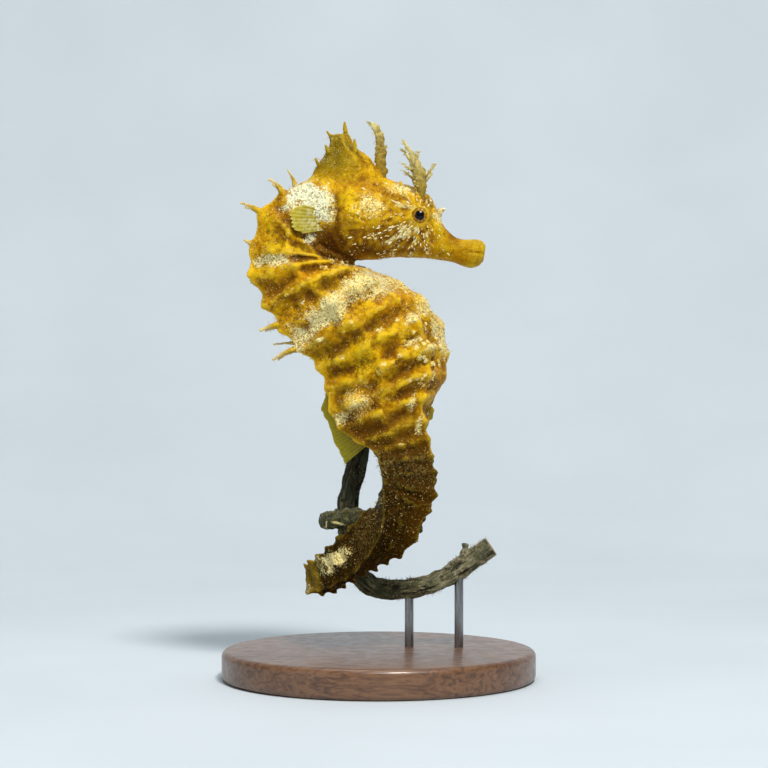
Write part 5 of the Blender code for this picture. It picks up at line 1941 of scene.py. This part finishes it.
def build_twig(surface):
    """Short side shoot of the branch with a broken tip."""
    points = smooth_path(TWIG, 24)
    share = np.linspace(0, 1, 25)
    radii = mix(0.7, 0.4, share) * (1 + 0.12 * np.sin(share * 14))
    obj = mesh_object("perch_twig", *sweep(points, radii * 0.97, 20, 1.0, 0.3, 77), surface)
    add_layers(obj.data, height=0, cut=0, shade=0, dry=1)
    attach(obj, "root")


def build_perch(surface, fibre_surface):
    points = smooth_path(STEM_PATH, 380)
    stem = bark_tube("perch_bark", points, surface, 81)
    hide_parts("perch_branch", "perch_upright")
    build_twig(surface)
    places, normals = vertex_array(stem.data), normal_array(stem.data)
    weight = 0.25 + ease(places[:, 0], -1.0, 3.0) + 0.5 * ease(normals[:, 2], 0.2, 0.8)
    weight = weight * ease(layered_noise(places, 2.0, 2, 87), -0.2, 0.3)
    chosen = pick(weight * (places[:, 0] < 15.0) + 1e-9, FIBRE_COUNT)
    length = 0.08 + 0.20 * RANDOM.random(FIBRE_COUNT) ** 2
    lean = RANDOM.normal(scale=0.9, size=(FIBRE_COUNT, 3))
    fibres = scatter("perch_fibres", spike_template(THREAD, 3), places[chosen], normals[chosen], length,
                     FIBRE_RADIUS, fibre_surface, lean=lean)


def lathe(name, profile, centre, surface, columns=160):
    """Turned solid from a profile of (radius, height) rows."""
    rows = np.array(profile)
    turn = full_turn(columns)
    x = centre[0] + rows[:, :1] * np.cos(turn)
    y = centre[1] + rows[:, :1] * np.sin(turn)
    grid = np.stack([x, y, np.broadcast_to(rows[:, 1:], x.shape)], axis=-1)
    obj = mesh_object(name, *tube(grid), surface)
    obj.data.set_sharp_from_angle(angle=math.radians(35))
    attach(obj, "root")
    return obj


def rounded(radius, bottom, top, edge, steps=6):
    """Profile of a disc with rounded edges below and above."""
    angles = [math.pi / 2 * step / steps for step in range(steps + 1)]
    below = [(radius - edge * (1 - math.sin(a)), bottom + edge * (1 - math.cos(a))) for a in angles]
    above = [(radius - edge * (1 - math.cos(a)), top - edge * (1 - math.sin(a))) for a in angles]
    return below + above


def build_stand(wood, metal):
    profile = rounded(BASE_RADIUS, 0, BASE_THICKNESS, BASE_EDGE)
    base = lathe("stand_base_turned", profile, BASE_CENTRE, wood)
    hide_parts("stand_base")
    for index, (x, y, top) in enumerate(RODS, start=1):
        profile = rounded(ROD_RADIUS, ROD_FOOT, top, 0.08, 3)
        rod = lathe(f"stand_rod_{index}_turned", profile, (x, y), metal, 48)
        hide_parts(f"stand_rod_{index}")


# ---------------------------------------------------------------- stage

def build_backdrop():
    """Pale floor that curves up behind the model."""
    arc = np.linspace(0.1, math.pi / 2, 16)
    flat = np.linspace(FLOOR_FRONT, WALL_START, 12)
    depth = np.concatenate([flat, WALL_START + WALL_CURVE * np.sin(arc), [WALL_START + WALL_CURVE]])
    rise = np.concatenate([flat * 0, WALL_CURVE * (1 - np.cos(arc)), [WALL_TOP]])
    x, y = np.meshgrid(np.linspace(-FLOOR_SIDE, FLOOR_SIDE, 13), depth)
    grid = np.stack([x, y, np.broadcast_to(rise[:, None], x.shape)], axis=-1)
    floor = mesh_object("floor", grid, grid_faces(*x.shape, False), floor_look())


def build_lights():
    """Soft lamps and a pale surrounding."""
    for name, place, size, power, colour in LIGHTS:
        light = bpy.data.lights.new(name, "AREA")
        light.shape = "DISK"
        light.size = size * MM
        light.energy = power
        light.color = colour
        lamp = bpy.data.objects.new(name, light)
        lamp.location = Vector(place) * MM
        aim = Vector(LIGHT_AIM) * MM - lamp.location
        lamp.rotation_euler = aim.to_track_quat("-Z", "Y").to_euler()
        bpy.context.scene.collection.objects.link(lamp)
    world = bpy.data.worlds.new("studio")
    world.use_nodes = True
    background = world.node_tree.nodes["Background"]
    background.inputs["Color"].default_value = (0.86, 0.92, 0.97, 1)
    background.inputs["Strength"].default_value = 0.20
    bpy.context.scene.world = world


def build_camera():
    camera_data = bpy.data.cameras.new("camera")
    camera_data.lens = CAMERA_LENS
    camera_data.clip_start = 0.01
    camera_data.clip_end = 10
    camera = bpy.data.objects.new("camera", camera_data)
    camera.location = Vector(CAMERA_PLACE) * MM
    camera.rotation_euler = (math.pi / 2, 0, 0)
    bpy.context.scene.collection.objects.link(camera)
    bpy.context.scene.camera = camera
    bpy.context.scene.view_settings.view_transform = "Standard"


def main():
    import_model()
    build_backdrop()
    build_lights()
    build_camera()
    marks = build_skin(skin_look())
    papilla = speck_look("papilla", (0.56, 0.33, 0.02), (0.88, 0.82, 0.52))
    # Pale gold of the glint specks: painted highlights on the eye glints, and partly on the cheek dashes.
    glint = speck_look("glint", (0.92, 0.68, 0.16), (0.98, 0.92, 0.66), 0.25)
    build_cheek_specks(marks, glint)
    build_papillae(marks, papilla)
    build_threads(marks, papilla)
    eyes = eye_look()
    build_eye("eye_right", -1, eyes)
    build_eye("eye_left", 1, eyes)
    filament = filament_look()
    crown = branch_set(CROWN_FILAMENT, 1, 1.0)
    right = branch_set(BROW_FILAMENT, -1, 1.0)
    left = branch_set(BROW_FILAMENT, 1, LEFT_BROW_SCALE)
    build_filament("crown_filament", crown, CROWN_WIDTHS, filament, 5)
    build_filament("brow_filament_right", right, BROW_WIDTHS, filament, 6)
    build_filament("brow_filament_left", left, BROW_WIDTHS, filament, 7)
    membrane = fin_look()
    build_pectoral_fins(membrane)
    build_dorsal_fin(membrane)
    build_anal_fin(membrane)
    fibre = speck_look("bark_fibre", (0.050, 0.055, 0.025), (0.46, 0.43, 0.27), 0.6)
    build_perch(bark_look(), fibre)
    build_stand(wood_look(), steel_look())


main()
